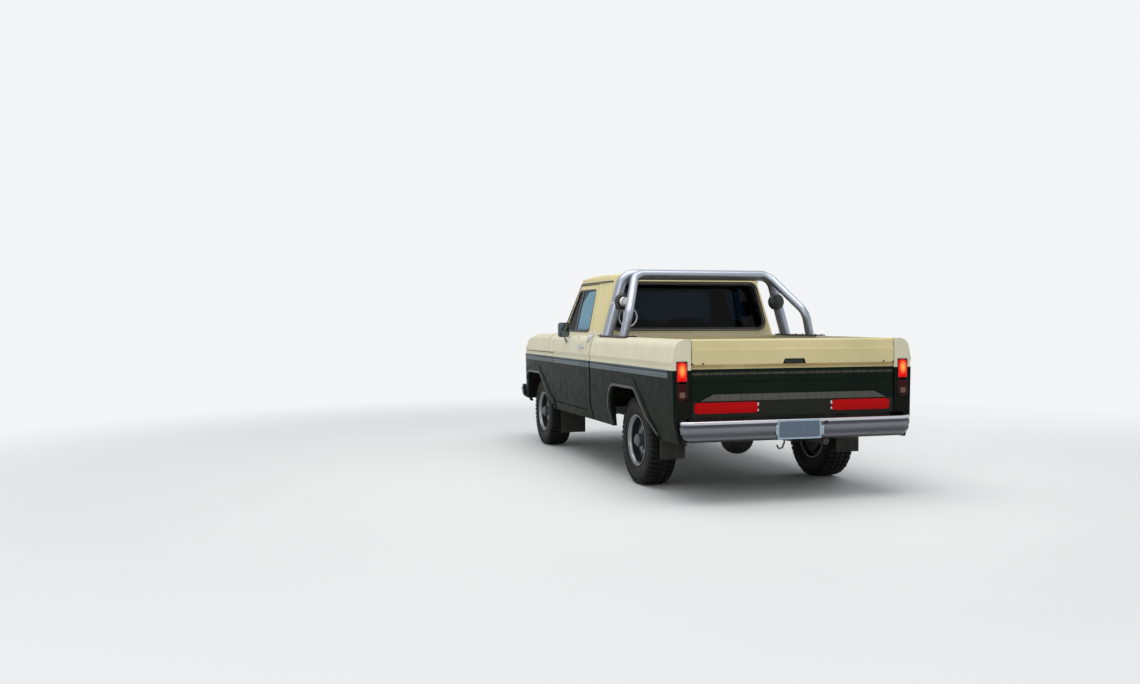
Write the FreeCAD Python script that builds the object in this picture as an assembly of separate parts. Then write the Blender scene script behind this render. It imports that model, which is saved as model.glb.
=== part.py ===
import FreeCAD, Part
import math
import os

# Regular-cab, short-bed pickup truck with a twin-hoop roll bar, in millimetres.
# X runs forward, Y to the truck's left, Z up; the origin is under the middle of the truck, on the ground.

# Driving dimensions
WHEELBASE = 2967.0
REAR_OVERHANG = 1120.0
FRONT_OVERHANG = 866.0
HALF_WIDTH = 1003.5
TYRE_RADIUS = 365.0
WHEEL_MID_Y = 797.5
SILL_Z = 445.0
RAIL_Z = 1212.0
ROOF_Z = 1820.0
SEAM = 8.0

# Stations along the truck, worked out from the driving dimensions
LENGTH = REAR_OVERHANG + WHEELBASE + FRONT_OVERHANG
REAR_END = -LENGTH / 2
REAR_AXLE = REAR_END + REAR_OVERHANG
FRONT_AXLE = REAR_AXLE + WHEELBASE
FRONT_END = FRONT_AXLE + FRONT_OVERHANG
TAIL_X = REAR_AXLE - 1030.0
BED_FRONT = REAR_AXLE + 975.0
CAB_BACK = BED_FRONT + 38.0
DOOR_REAR = CAB_BACK + 128.0
DOOR_LENGTH = 1091.0
DOOR_FRONT = DOOR_REAR + DOOR_LENGTH
COWL_FRONT = DOOR_FRONT + 190.0
HOOD_REAR = COWL_FRONT + 12.0
HOOD_FRONT = FRONT_AXLE + 640.0
FENDER_FRONT = FRONT_AXLE + 590.0

# Heights and walls of the body
CREASE_Z = 1043.0
HOOD_SEAM_Z = 1023.0
LOWER_CREASE_Z = 600.0
MOULDING_LOW_Z = 925.0
MOULDING_TOP_Z = 987.0
DOOR_LOW_Z = 530.0
DOOR_TOP_Z = 1697.0
DRIP_Z = 1712.0
SKIN = 28.0
WALL_Y = 832.0
GATE_HALF = 845.0
BED_WALL_Y = GATE_HALF + SEAM
FLOOR_Z = 600.0
FLOOR_THICK = 40.0
BED_FLOOR_Z = 705.0
BED_FLOOR_THICK = 22.0
PILLAR = 38.0
GLASS_THICK = 5.0
GLASS_INSET = 9.0

# Joint axes
DOOR_AXIS_X = DOOR_FRONT - 60.0
DOOR_AXIS_Y = HALF_WIDTH - 18.5
HOOD_AXIS_X = HOOD_REAR + 9.0
HOOD_AXIS_Z = RAIL_Z - 3.0
GATE_AXIS_X = TAIL_X + 20.0
GATE_AXIS_Z = 662.0
KINGPIN_Y = 712.0
PIN_PLAY = 0.05


def V(x, y, z):
    return FreeCAD.Vector(x, y, z)


def outline(points, place):
    """Closed wire of straight runs; a point's third value is the radius of its rounded corner."""
    flat = [place(p[0], p[1]) for p in points]
    radius = [p[2] if len(p) > 2 else 0.0 for p in points]
    count = len(flat)
    starts = []
    ends = []
    for i in range(count):
        here = flat[i]
        before = (flat[i - 1] - here).normalize()
        after = (flat[(i + 1) % count] - here).normalize()
        if radius[i] == 0.0:
            starts.append(here)
            ends.append(here)
            continue
        half = before.getAngle(after) / 2
        reach = radius[i] / math.tan(half)
        starts.append(here + before * reach)
        ends.append(here + after * reach)
    edges = []
    for i in range(count):
        if radius[i] > 0.0:
            here = flat[i]
            before = (starts[i] - here).normalize()
            after = (ends[i] - here).normalize()
            half = before.getAngle(after) / 2
            bisector = (before + after).normalize()
            top = here + bisector * (radius[i] / math.sin(half) - radius[i])
            edges.append(Part.Arc(starts[i], top, ends[i]).toShape())
        following = starts[(i + 1) % count]
        if (following - ends[i]).Length > 1e-6:
            edges.append(Part.makeLine(ends[i], following))
    return Part.Wire(edges)


def side_prism(points, y_low, y_high):
    """Side-view outline (x, z) pushed from y_low to y_high."""
    wire = outline(points, lambda a, b: V(a, y_low, b))
    return Part.Face(wire).extrude(V(0, y_high - y_low, 0))


def cross_prism(points, x_low, x_high):
    """Cross-section (y, z) pushed from x_low to x_high."""
    wire = outline(points, lambda a, b: V(x_low, a, b))
    return Part.Face(wire).extrude(V(x_high - x_low, 0, 0))


def plan_prism(points, z_low, z_high):
    """Plan-view outline (x, y) pushed from z_low to z_high."""
    wire = outline(points, lambda a, b: V(a, b, z_low))
    return Part.Face(wire).extrude(V(0, 0, z_high - z_low))


def box(x_low, x_high, y_low, y_high, z_low, z_high):
    return Part.makeBox(x_high - x_low, y_high - y_low, z_high - z_low, V(x_low, y_low, z_low))


def rod(start, end, radius):
    return Part.makeCylinder(radius, (end - start).Length, start, end - start)


def loft(wires):
    return Part.makeLoft(wires, True, True)


def mirrored(shape):
    return shape.mirror(V(0, 0, 0), V(0, 1, 0))


def both(shape):
    return Part.makeCompound([shape, mirrored(shape)])


def ring(profile, centre_y, x, z):
    """Profile of (y, radius) pairs turned about the wheel's own axis."""
    wire = outline(profile, lambda a, b: V(x, centre_y + a, z + b))
    return Part.Face(wire).revolve(V(x, centre_y, z), V(0, 1, 0), 360)


def fused(shapes):
    first = shapes[0]
    if len(shapes) > 1:
        first = first.fuse(shapes[1:])
    return first.removeSplitter()


def save(name, shape):
    solids = shape.Solids
    result = solids[0] if len(solids) == 1 else Part.makeCompound(solids)
    result.exportStep("parts/" + name + ".step")
    return result


# Body side, seen from behind: (drop in from the widest line, height, corner radius)
LOWER_SIDE = [(51.0, SILL_Z), (12.0, LOWER_CREASE_Z), (5.0, MOULDING_LOW_Z), (4.0, 990.0), (13.0, 1012.0)]
SHOULDER = [(0.0, CREASE_Z), (34.0, RAIL_Z, 88.0)]


def side_points(width, extra=0.0):
    lower = [(width - p[0] - extra, p[1]) for p in LOWER_SIDE]
    upper = [(width - p[0] - extra, p[1] - extra * 0.6) + tuple(p[2:]) for p in SHOULDER]
    return lower + upper


def body_block(x_low, x_high):
    """Whole body section from side to side."""
    left = side_points(HALF_WIDTH)
    right = [(-p[0],) + tuple(p[1:]) for p in reversed(left)]
    return cross_prism(left + right, x_low, x_high)


# Greenhouse: plan outlines at the belt and under the roof
BELT_Z = 1195.0
GREEN_BELT = {"back": CAB_BACK, "side": 888.0, "corner": DOOR_FRONT + 62.0, "front": DOOR_FRONT + 150.0, "turn": 480.0}
GREEN_TOP = {"back": CAB_BACK + 48.0, "side": 744.0, "corner": DOOR_FRONT - 160.0, "front": DOOR_FRONT - 95.0,
             "turn": 400.0}
BACK_CORNER = 70.0
FRONT_CORNER = 48.0
LEAST_CORNER = 6.0
WINDSHIELD_BEND = 900.0
# The rounded edge of the roof above the drip line: (height above the line, distance in)
ROOF_EDGE = [(42.0, 5.0), (66.0, 20.0), (80.0, 48.0)]


def greenhouse_wire(form, inset, z):
    back = form["back"] + inset
    side = form["side"] - inset
    corner = form["corner"] - inset
    front = form["front"] - inset
    turn = form["turn"]
    rear_radius = max(BACK_CORNER - inset * 0.6, LEAST_CORNER)
    front_radius = max(FRONT_CORNER - inset * 0.6, LEAST_CORNER)
    points = [(back, -side, rear_radius), (corner, -side, front_radius), (front, -turn, WINDSHIELD_BEND),
              (front, turn, WINDSHIELD_BEND), (corner, side, front_radius), (back, side, rear_radius)]
    return outline(points, lambda a, b: V(a, b, z))


def blend_form(share):
    return {key: GREEN_BELT[key] + (GREEN_TOP[key] - GREEN_BELT[key]) * share for key in GREEN_BELT}


def greenhouse(inset, z_low, roof_drop):
    """Glazed upper cab and its crowned roof, set in by a wall and lowered by roof_drop."""
    low = blend_form((z_low - BELT_Z) / (DRIP_Z - BELT_Z))
    top_z = DRIP_Z + 4.0
    top = blend_form((top_z - BELT_Z) / (DRIP_Z - BELT_Z))
    wires = [greenhouse_wire(low, inset, z_low), greenhouse_wire(top, inset, top_z)]
    wires += [greenhouse_wire(top, inset + inward, top_z + rise) for rise, inward in ROOF_EDGE]
    cap = Part.Face(wires[-1]).extrude(V(0, 0, CAP_HIGH))
    return fused([loft(wires), cap]).common(crown(ROOF_Z - roof_drop))


CAP_HIGH = 90.0
CROWN_ACROSS = 7400.0
CROWN_ALONG = 6000.0
CROWN_HALF = 1100.0
CROWN_DEEP = 900.0
CROWN_TURN = 15.0
CROWN_PLACE = 0.38


def crown(top):
    """Block under a roof surface that is rounded both ways: one arc turned about a far axis."""
    middle = GREEN_TOP["back"] + (GREEN_TOP["front"] - GREEN_TOP["back"]) * CROWN_PLACE
    edge = top - CROWN_ACROSS + math.sqrt(CROWN_ACROSS ** 2 - CROWN_HALF ** 2)
    arc = Part.Arc(V(middle, -CROWN_HALF, edge), V(middle, 0, top), V(middle, CROWN_HALF, edge)).toShape()
    below = Part.makePolygon([V(middle, CROWN_HALF, edge), V(middle, CROWN_HALF, top - CROWN_DEEP),
                              V(middle, -CROWN_HALF, top - CROWN_DEEP), V(middle, -CROWN_HALF, edge)])
    face = Part.Face(Part.Wire([arc] + below.Edges))
    centre = V(middle, 0, top - CROWN_ALONG)
    face.rotate(centre, V(0, 1, 0), -CROWN_TURN)
    return face.revolve(centre, V(0, 1, 0), 2 * CROWN_TURN)


# Door outline at the skin: (place behind the front or ahead of the rear edge, height, skin y, inward slope, seam x, seam z)
DOOR_POINTS = [
    (DOOR_REAR, DOOR_LOW_Z, 985.0, 0.20, -1.0, -1.0),
    (DOOR_REAR, 1150.0, 975.0, 0.20, -1.0, 0.4),
    (DOOR_REAR + 60.0, 1200.0, 935.0, 0.25, -0.8, 0.8),
    (DOOR_REAR + 195.0, 1260.0, 872.0, 0.45, -1.0, 0.6),
    (DOOR_REAR + 322.0, DOOR_TOP_Z, 748.0, 0.45, -1.0, 1.0),
    (DOOR_FRONT - 172.0, DOOR_TOP_Z, 748.0, 0.0, 1.0, 1.0),
    (DOOR_FRONT, 1240.0, 872.0, 0.0, 1.0, 0.3),
    (DOOR_FRONT, DOOR_LOW_Z, 985.0, 0.0, 1.0, -1.0),
]


# The gap behind the door, as a multiple of the seam round it, for the corner that swings inward
DOOR_BACK_ROOM = 2.25


def door_prism(gap):
    outer_y = 1060.0
    inner_y = 560.0
    wires = []
    for y in (outer_y, inner_y):
        points = [V(x + slope * (skin - y) + gap * sx, y, z + gap * sz) for x, z, skin, slope, sx, sz in DOOR_POINTS]
        wires.append(Part.makePolygon(points + [points[0]]))
    inside = box(DOOR_REAR - 100, DOOR_FRONT + 100, 0, WALL_Y - gap * DOOR_BACK_ROOM, 0, BELT_Z)
    return loft(wires).cut(inside)


DOOR_WINDOW = [(DOOR_REAR + 262.0, 1246.0, 25.0), (DOOR_REAR + 375.0, 1652.0, 30.0),
               (DOOR_FRONT - 198.0, 1652.0, 30.0), (DOOR_FRONT - 36.0, 1246.0, 25.0)]
REAR_WINDOW = [(-792.0, 1266.0, 70.0), (792.0, 1266.0, 70.0), (690.0, 1701.0, 70.0), (-690.0, 1701.0, 70.0)]
WINDSHIELD = [(-800.0, 1243.0, 50.0), (800.0, 1243.0, 50.0), (690.0, 1672.0, 50.0), (-690.0, 1672.0, 50.0)]

HINGE_HEIGHTS = [690.0, 895.0]
HINGE_TALL = 46.0
HINGE_PIN = 4.0
HOOD_HINGE_Y = 670.0


def hinge_lug(z):
    """Pin and bent arm that a door turns on, for the left side."""
    pin = rod(V(DOOR_AXIS_X, DOOR_AXIS_Y, z - 16), V(DOOR_AXIS_X, DOOR_AXIS_Y, z + HINGE_TALL + 16), HINGE_PIN)
    eye = rod(V(DOOR_AXIS_X, DOOR_AXIS_Y, z + 5), V(DOOR_AXIS_X, DOOR_AXIS_Y, z + HINGE_TALL - 5), HINGE_PIN + 1.5)
    inward = box(DOOR_AXIS_X - 6, DOOR_AXIS_X + 2, DOOR_AXIS_Y - 62, DOOR_AXIS_Y, z + 5, z + HINGE_TALL - 5)
    forward = box(DOOR_AXIS_X - 6, DOOR_FRONT + SEAM + 6, DOOR_AXIS_Y - 66, DOOR_AXIS_Y - 58, z + 5, z + HINGE_TALL - 5)
    return fused([pin, eye, inward, forward])


def hinge_pocket(z):
    """Room inside the door's edge for the arm, with a running bore for the pin."""
    deep = box(DOOR_AXIS_X - 16, DOOR_FRONT + 20, WALL_Y - 20, DOOR_AXIS_Y + 2, z, z + HINGE_TALL)
    eye = rod(V(DOOR_AXIS_X, DOOR_AXIS_Y, z), V(DOOR_AXIS_X, DOOR_AXIS_Y, z + HINGE_TALL), HINGE_PIN + 3)
    bore = rod(V(DOOR_AXIS_X, DOOR_AXIS_Y, z - 18), V(DOOR_AXIS_X, DOOR_AXIS_Y, z + HINGE_TALL + 18),
               HINGE_PIN + PIN_PLAY)
    return [deep, eye, bore]


def make_cab():
    cab_top = greenhouse(0.0, BELT_Z, 0.0)
    lower = body_block(CAB_BACK, COWL_FRONT)
    outer = fused([lower, cab_top])
    inner_top = greenhouse(PILLAR, BELT_Z - 2, 30.0)
    hollow = box(CAB_BACK + 55, DOOR_FRONT + 90, -WALL_Y, WALL_Y, FLOOR_Z, BELT_Z + 5)
    under = box(CAB_BACK - 10, COWL_FRONT + 10, -WALL_Y + 42, WALL_Y - 42, SILL_Z - 10, FLOOR_Z - FLOOR_THICK)
    toe = box(DOOR_FRONT + 120, COWL_FRONT + 10, -HALF_WIDTH, HALF_WIDTH, SILL_Z - 10, HOOD_SEAM_Z + SEAM)
    wing_gap = box(DOOR_FRONT + SEAM, COWL_FRONT + 10, WALL_Y, HALF_WIDTH + 10, SILL_Z - 10, HOOD_SEAM_Z + SEAM)
    low_gap = box(DOOR_FRONT + SEAM, COWL_FRONT + 10, 780, HALF_WIDTH, SILL_Z - 10, FLOOR_Z - FLOOR_THICK)
    cowl_dip = box(DOOR_FRONT + 145, COWL_FRONT + 10, -WALL_Y, WALL_Y, 1185, RAIL_Z + 30)
    cowl_void = box(DOOR_FRONT + 120, COWL_FRONT + 10, -WALL_Y, WALL_Y, HOOD_SEAM_Z - 50, 1165)
    windows = [both(side_prism(DOOR_WINDOW, 640, 1020)), cross_prism(REAR_WINDOW, CAB_BACK - 20, CAB_BACK + 200),
               cross_prism(WINDSHIELD, DOOR_FRONT - 260, COWL_FRONT)]
    doors = door_prism(SEAM)
    tunnel = box(CAB_BACK + 40, DOOR_FRONT + 110, -140, 140, FLOOR_Z - 5, FLOOR_Z + 95)
    gaps = [wing_gap, mirrored(wing_gap), low_gap, mirrored(low_gap)]
    shell = outer.cut([hollow, under, toe, cowl_dip, cowl_void, inner_top, doors, mirrored(doors)] + gaps + windows)
    tunnel_void = box(CAB_BACK - 40, DOOR_FRONT + 130, -115, 115, FLOOR_Z - FLOOR_THICK - 10, FLOOR_Z + 70)
    shell = fused([shell, tunnel]).cut(tunnel_void)
    lugs = [hinge_lug(z) for z in HINGE_HEIGHTS]
    door_post = box(DOOR_FRONT + SEAM, DOOR_FRONT + 54, WALL_Y - 30, 962, FLOOR_Z, HOOD_SEAM_Z)
    hood_pin = rod(V(HOOD_AXIS_X, HOOD_HINGE_Y - 26, HOOD_AXIS_Z), V(HOOD_AXIS_X, HOOD_HINGE_Y + 26, HOOD_AXIS_Z), 4.0)
    hood_arm = side_prism([(COWL_FRONT - 40, 1170.0), (COWL_FRONT - 40, 1186.0), (HOOD_AXIS_X - 6, HOOD_AXIS_Z + 5),
                           (HOOD_AXIS_X + 5, HOOD_AXIS_Z + 5), (HOOD_AXIS_X + 5, HOOD_AXIS_Z - 8)],
                          HOOD_HINGE_Y - 8, HOOD_HINGE_Y + 8)
    posts = lugs + [door_post, hood_pin, hood_arm]
    posts = posts + [mirrored(s) for s in posts]
    shell = fused([shell] + posts)
    split_x = DOOR_REAR + 500
    high = box(CAB_BACK - 50, COWL_FRONT + 50, -1100, 1100, FLOOR_Z, ROOF_Z + 50)
    low = box(CAB_BACK - 50, COWL_FRONT + 50, -1100, 1100, 0, FLOOR_Z)
    tunnel_zone = box(CAB_BACK + 55, DOOR_FRONT + 90, -140, 140, FLOOR_Z - 5, FLOOR_Z + 96)
    floor_zone = fused([low, tunnel_zone])
    floor = shell.common(floor_zone)
    upper = shell.common(high).cut(tunnel_zone)
    back_zone = box(CAB_BACK - 50, split_x, -1100, 1100, 0, DOOR_TOP_Z + SEAM)
    front_zone = fused([box(split_x, COWL_FRONT + 50, -1100, 1100, 0, RAIL_Z),
                        box(COWL_FRONT - 60, COWL_FRONT + 50, -1100, 1100, 0, RAIL_Z + 40)])
    save("cab_floor", floor)
    save("cab_back", upper.common(back_zone))
    save("cab_cowl", upper.common(front_zone))
    save("cab_roof", upper.cut([back_zone, front_zone]))
    glass_zone = greenhouse(GLASS_INSET, BELT_Z, GLASS_INSET).cut(greenhouse(GLASS_INSET + GLASS_THICK, BELT_Z - 2,
                                                                             GLASS_INSET + GLASS_THICK))
    save("rear_window", glass_zone.common(cross_prism(REAR_WINDOW, CAB_BACK - 20, CAB_BACK + 200)))
    save("windshield", glass_zone.common(cross_prism(WINDSHIELD, DOOR_FRONT - 260, COWL_FRONT)))
    door = outer.common(door_prism(0.0))
    door_void = box(DOOR_REAR - 50, DOOR_FRONT + 50, 0, WALL_Y, BELT_Z - 10, BELT_Z + 6)
    pockets = [cut for z in HINGE_HEIGHTS for cut in hinge_pocket(z)]
    door = door.cut([door_void, inner_top, side_prism(DOOR_WINDOW, 640, 1020)] + pockets)
    pane = glass_zone.common(side_prism(DOOR_WINDOW, 640, 1020))
    return door, pane


# Wheel arches, as (distance ahead of the axle, height, corner radius)
REAR_ARCH = [(432.0, 380.0), (447.0, 800.0, 130.0), (-195.0, 800.0, 110.0), (-690.0, 430.0), (-690.0, 380.0)]
REAR_FLARE = [(486.0, 380.0), (492.0, 897.0, 190.0), (-170.0, 897.0, 140.0), (-600.0, 545.0), (-690.0, 430.0),
              (-690.0, 380.0)]
FRONT_ARCH = [(445.0, 380.0), (405.0, 788.0, 190.0), (-190.0, 788.0, 110.0), (-640.0, 490.0), (-660.0, 380.0)]
FRONT_FLARE = [(500.0, 380.0), (470.0, 868.0, 230.0), (-150.0, 868.0, 150.0), (-700.0, 540.0), (-730.0, 380.0)]
FLARE_PROUD = 9.0
TUB_HIGH = 905.0
TUB_REACH = 468.0
TUB_Y = 640.0


def arch(points, axle_x, y_low, y_high, grow=0.0):
    centre_z = TYRE_RADIUS
    moved = []
    for p in points:
        step = grow if p[0] > 0 else -grow
        rise = grow if p[1] > centre_z + 200 else 0.0
        moved.append((axle_x + p[0] + step, p[1] + rise) + tuple(p[2:]))
    return side_prism(moved, y_low, y_high)


def make_bed():
    side_x = (TAIL_X, BED_FRONT)
    outer = side_points(HALF_WIDTH)
    inner = [(HALF_WIDTH - 34.0, RAIL_Z, 88.0), (BED_WALL_Y, RAIL_Z), (BED_WALL_Y, BED_FLOOR_Z - BED_FLOOR_THICK),
             (HALF_WIDTH - 60.0, BED_FLOOR_Z - BED_FLOOR_THICK), (HALF_WIDTH - 51.0 - SKIN, SILL_Z)]
    wall = cross_prism(outer[:-1] + inner, side_x[0], side_x[1])
    flare_zone = cross_prism([(HALF_WIDTH - 60.0, SILL_Z), (HALF_WIDTH - 51.0 + FLARE_PROUD, SILL_Z),
                              (HALF_WIDTH - 12.0 + FLARE_PROUD, LOWER_CREASE_Z), (HALF_WIDTH - 0.2, MOULDING_LOW_Z),
                              (HALF_WIDTH - 60.0, MOULDING_LOW_Z)], side_x[0] + 60, side_x[1] - 20)
    flare = arch(REAR_FLARE, REAR_AXLE, 900, 1010).common(flare_zone)
    tub = box(REAR_AXLE - TUB_REACH - 12, REAR_AXLE + TUB_REACH + 12, TUB_Y, BED_WALL_Y + 5, BED_FLOOR_Z - BED_FLOOR_THICK,
              TUB_HIGH)
    well = box(REAR_AXLE - TUB_REACH, REAR_AXLE + TUB_REACH, TUB_Y + 12, HALF_WIDTH - 45, BED_FLOOR_Z - 100,
               TUB_HIGH - 12)
    opening = arch(REAR_ARCH, REAR_AXLE, 870, 1020)
    pin_bore = rod(V(GATE_AXIS_X, BED_WALL_Y - 5, GATE_AXIS_Z), V(GATE_AXIS_X, BED_WALL_Y + 30, GATE_AXIS_Z), 9.0 + PIN_PLAY)
    pin_block = box(TAIL_X, TAIL_X + 60, BED_WALL_Y, HALF_WIDTH - 60, GATE_AXIS_Z - 25, BED_FLOOR_Z)
    lamp_well = box(TAIL_X - 5, TAIL_X + 45, LAMP_IN - 2, LAMP_OUT + 2, LAMP_LOW - 2, LAMP_HIGH + 2)
    side = fused([wall, flare, tub, pin_block]).cut([well, opening, pin_bore, lamp_well])
    floor = box(TAIL_X + 72, BED_FRONT, -BED_WALL_Y, BED_WALL_Y, BED_FLOOR_Z - BED_FLOOR_THICK, BED_FLOOR_Z)
    ribs = []
    rib_count = 11
    rib_pitch = 118.0
    for i in range(rib_count):
        y = (i - (rib_count - 1) / 2) * rib_pitch
        if abs(y) < TUB_Y - 20:
            ribs.append(box(TAIL_X + 90, BED_FRONT - 30, y - 28, y + 28, BED_FLOOR_Z, BED_FLOOR_Z + 9))
    bearers = []
    for share in (0.03, 0.36, 0.62, 0.97):
        x = TAIL_X + 100 + share * (BED_FRONT - TAIL_X - 170)
        half = 600.0 if abs(x - REAR_AXLE) < TUB_REACH + 40 else BED_WALL_Y - 10
        bearers.append(box(x - 25, x + 25, -half, half, FRAME_TOP_REAR, BED_FLOOR_Z - BED_FLOOR_THICK))
    tub_hole = box(REAR_AXLE - TUB_REACH - 12, REAR_AXLE + TUB_REACH + 12, TUB_Y, BED_WALL_Y + 5, 0, BED_FLOOR_Z + 5)
    front = box(BED_FRONT - 45, BED_FRONT, -BED_WALL_Y, BED_WALL_Y, BED_FLOOR_Z - BED_FLOOR_THICK, RAIL_Z - 6)
    floor = fused([floor, front] + ribs + bearers).cut([tub_hole, mirrored(tub_hole)])
    save("bed_floor", floor)
    save("bed_side_left", side)
    save("bed_side_right", mirrored(side))


# Tailgate
GATE_THICK = 54.0
GATE_LOW = 637.0
GATE_HIGH = 1213.0


def make_tailgate():
    back = TAIL_X
    front = TAIL_X + GATE_THICK
    face = [(back + 6, GATE_LOW), (back + 6, 745.0), (back + 1, 752.0), (back + 1, 800.0), (back + 8, 806.0),
            (back + 8, 955.0), (back + 14, 1000.0), (back + 14, 1016.0), (back - 1, 1022.0), (back - 1, 1138.0),
            (back + 5, 1144.0), (back + 7, GATE_HIGH - 12, 8.0), (back + 20, GATE_HIGH, 8.0), (front, GATE_HIGH),
            (front, GATE_LOW)]
    gate = side_prism(face, -GATE_HALF, GATE_HALF)
    panel = side_prism([(back - 1, 757.0), (back - 1, 800.0), (back + 12, 806.0), (back + 12, 745.0),
                        (back + 6, 745.0)], -GATE_HALF, GATE_HALF)
    trapeze = cross_prism([(-800.0, 745.0), (800.0, 745.0), (675.0, 804.0), (-675.0, 804.0)], back - 10, back + 20)
    gate = gate.cut(box(back - 20, back + 8, -GATE_HALF, GATE_HALF, 745.0, 806.0))
    gate = fused([gate, panel.common(trapeze)])
    recess = cross_prism([(-88.0, 1024.0), (108.0, 1024.0), (92.0, 1064.0), (-72.0, 1064.0)], back - 10, back + 24)
    hollow = box(front - 8, front + 1, -GATE_HALF + 90, GATE_HALF - 90, GATE_LOW + 90, GATE_HIGH - 110)
    trunnion = rod(V(GATE_AXIS_X, -BED_WALL_Y - 26, GATE_AXIS_Z), V(GATE_AXIS_X, BED_WALL_Y + 26, GATE_AXIS_Z), 9.0)
    gate = gate.cut([recess, hollow])
    gate = fused([gate, trunnion])
    save("tailgate", gate)
    handle = cross_prism([(-70.0, 1030.0, 4.0), (90.0, 1030.0, 4.0), (78.0, 1054.0, 4.0), (-60.0, 1054.0, 4.0)],
                         back + 6, back + 24)
    strips = [handle]
    for low, high in ((315.0, 825.0), (-806.0, -306.0)):
        strips.append(box(back - 4, back + 6, low, high, 663.0, 744.0))
    save("tailgate_trim", Part.makeCompound(strips))


# Tail lamps
LAMP_IN = 883.0
LAMP_OUT = 968.0
LAMP_LOW = 758.0
LAMP_HIGH = 1049.0


def make_tail_lamps():
    lamp = plan_prism([(TAIL_X - 9, LAMP_IN + 8, 8.0), (TAIL_X - 9, LAMP_OUT - 12, 10.0), (TAIL_X + 4, LAMP_OUT),
                       (TAIL_X + 45, LAMP_OUT), (TAIL_X + 45, LAMP_IN), (TAIL_X + 2, LAMP_IN)], LAMP_LOW, LAMP_HIGH)
    save("tail_lamps", both(lamp))


# Front end: half widths and heights of the hood and fenders at four stations
NOSE = [
    {"x": HOOD_REAR, "half": HALF_WIDTH, "shoulder": RAIL_Z, "crown": 1240.0},
    {"x": FRONT_AXLE + 130.0, "half": HALF_WIDTH, "shoulder": 1206.0, "crown": 1236.0},
    {"x": FRONT_AXLE + 420.0, "half": HALF_WIDTH - 10.0, "shoulder": 1172.0, "crown": 1202.0},
    {"x": HOOD_FRONT, "half": HALF_WIDTH - 58.0, "shoulder": 1112.0, "crown": 1132.0},
]
HOOD_THICK = 22.0
HOOD_LOW = HOOD_SEAM_Z + SEAM


def hood_wire(station, inset, x_shift=0.0):
    half = station["half"] - inset
    low = HOOD_LOW - (20.0 if inset > 0 else 0.0)
    shoulder = station["shoulder"] - inset
    crown = station["crown"] - inset
    right = [(-half, low), (-half, CREASE_Z), (-half + 34.0, shoulder, 80.0), (-430.0, crown, 2500.0)]
    left = [(-p[0],) + tuple(p[1:]) for p in reversed(right)]
    return outline(right + left, lambda a, b: V(station["x"] + x_shift, a, b))


def make_hood():
    outer = loft([hood_wire(s, 0.0) for s in NOSE])
    inner = loft([hood_wire(s, HOOD_THICK, -HOOD_THICK if s is not NOSE[0] else -30.0) for s in NOSE])
    hood = outer.cut(inner)
    sleeve = rod(V(HOOD_AXIS_X, HOOD_HINGE_Y - 28, HOOD_AXIS_Z), V(HOOD_AXIS_X, HOOD_HINGE_Y + 28, HOOD_AXIS_Z), 8.5)
    bore = rod(V(HOOD_AXIS_X, HOOD_HINGE_Y - 27, HOOD_AXIS_Z), V(HOOD_AXIS_X, HOOD_HINGE_Y + 27, HOOD_AXIS_Z),
               HINGE_PIN + PIN_PLAY)
    notch = box(HOOD_REAR - 5, HOOD_AXIS_X + 12, HOOD_HINGE_Y - 13, HOOD_HINGE_Y + 13, HOOD_AXIS_Z - 20,
                HOOD_AXIS_Z + 40)
    hood = fused([hood, sleeve, mirrored(sleeve)]).cut([bore, mirrored(bore), notch, mirrored(notch)])
    save("hood", hood)


def make_fenders():
    lower_pts = LOWER_SIDE + [(5.0, HOOD_SEAM_Z)]
    wires_out = []
    wires_in = []
    stations = [dict(NOSE[0], x=DOOR_FRONT + SEAM)] + NOSE[1:3] + [dict(NOSE[3], x=FENDER_FRONT, half=NOSE[3]["half"] + 20)]
    for s in stations:
        half = s["half"]
        out = [(half - p[0], p[1]) for p in lower_pts]
        inn = [(half - p[0] - SKIN, p[1]) for p in reversed(lower_pts)]
        wires_out.append(outline(out + inn, lambda a, b, x=s["x"]: V(x, a, b)))
    skin = loft(wires_out)
    arch_ring = arch(FRONT_ARCH, FRONT_AXLE, APRON_Y, HALF_WIDTH - 22, 10.0).cut(
        arch(FRONT_ARCH, FRONT_AXLE, APRON_Y - 5, HALF_WIDTH, 0.0))
    arch_ring = arch_ring.cut(box(FRONT_AXLE - 900, FRONT_AXLE + 900, 0, 1100, 0, SILL_Z + 40))
    apron = box(COWL_FRONT - 20, FRONT_PANEL_X, APRON_Y - 12, APRON_Y, 640, HOOD_SEAM_Z - 40)
    ledge = box(COWL_FRONT - 20, FRONT_PANEL_X, APRON_Y - 12, HALF_WIDTH - 75, HOOD_SEAM_Z - 50, HOOD_SEAM_Z - 40)
    flare_zone = cross_prism([(HALF_WIDTH - 60.0, SILL_Z), (HALF_WIDTH - 51.0 + FLARE_PROUD, SILL_Z),
                              (HALF_WIDTH - 12.0 + FLARE_PROUD, LOWER_CREASE_Z), (HALF_WIDTH - 0.2, MOULDING_LOW_Z),
                              (HALF_WIDTH - 60.0, MOULDING_LOW_Z)], DOOR_FRONT + 40, FRONT_AXLE + 395)
    flare = arch(FRONT_FLARE, FRONT_AXLE, 900, 1010).common(flare_zone)
    opening = arch(FRONT_ARCH, FRONT_AXLE, HALF_WIDTH - 130, 1040)
    fender = fused([skin, flare, arch_ring, apron, ledge]).cut(opening)
    save("fender_left", fender)
    save("fender_right", mirrored(fender))


APRON_Y = 478.0
FRONT_PANEL_X = FRONT_AXLE + 520.0
GRILLE_HALF = 560.0
GRILLE_LOW = 720.0
GRILLE_HIGH = 985.0
HEADLAMP_Y = 730.0
HEADLAMP_Z = 870.0
HEADLAMP_R = 92.0


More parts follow.
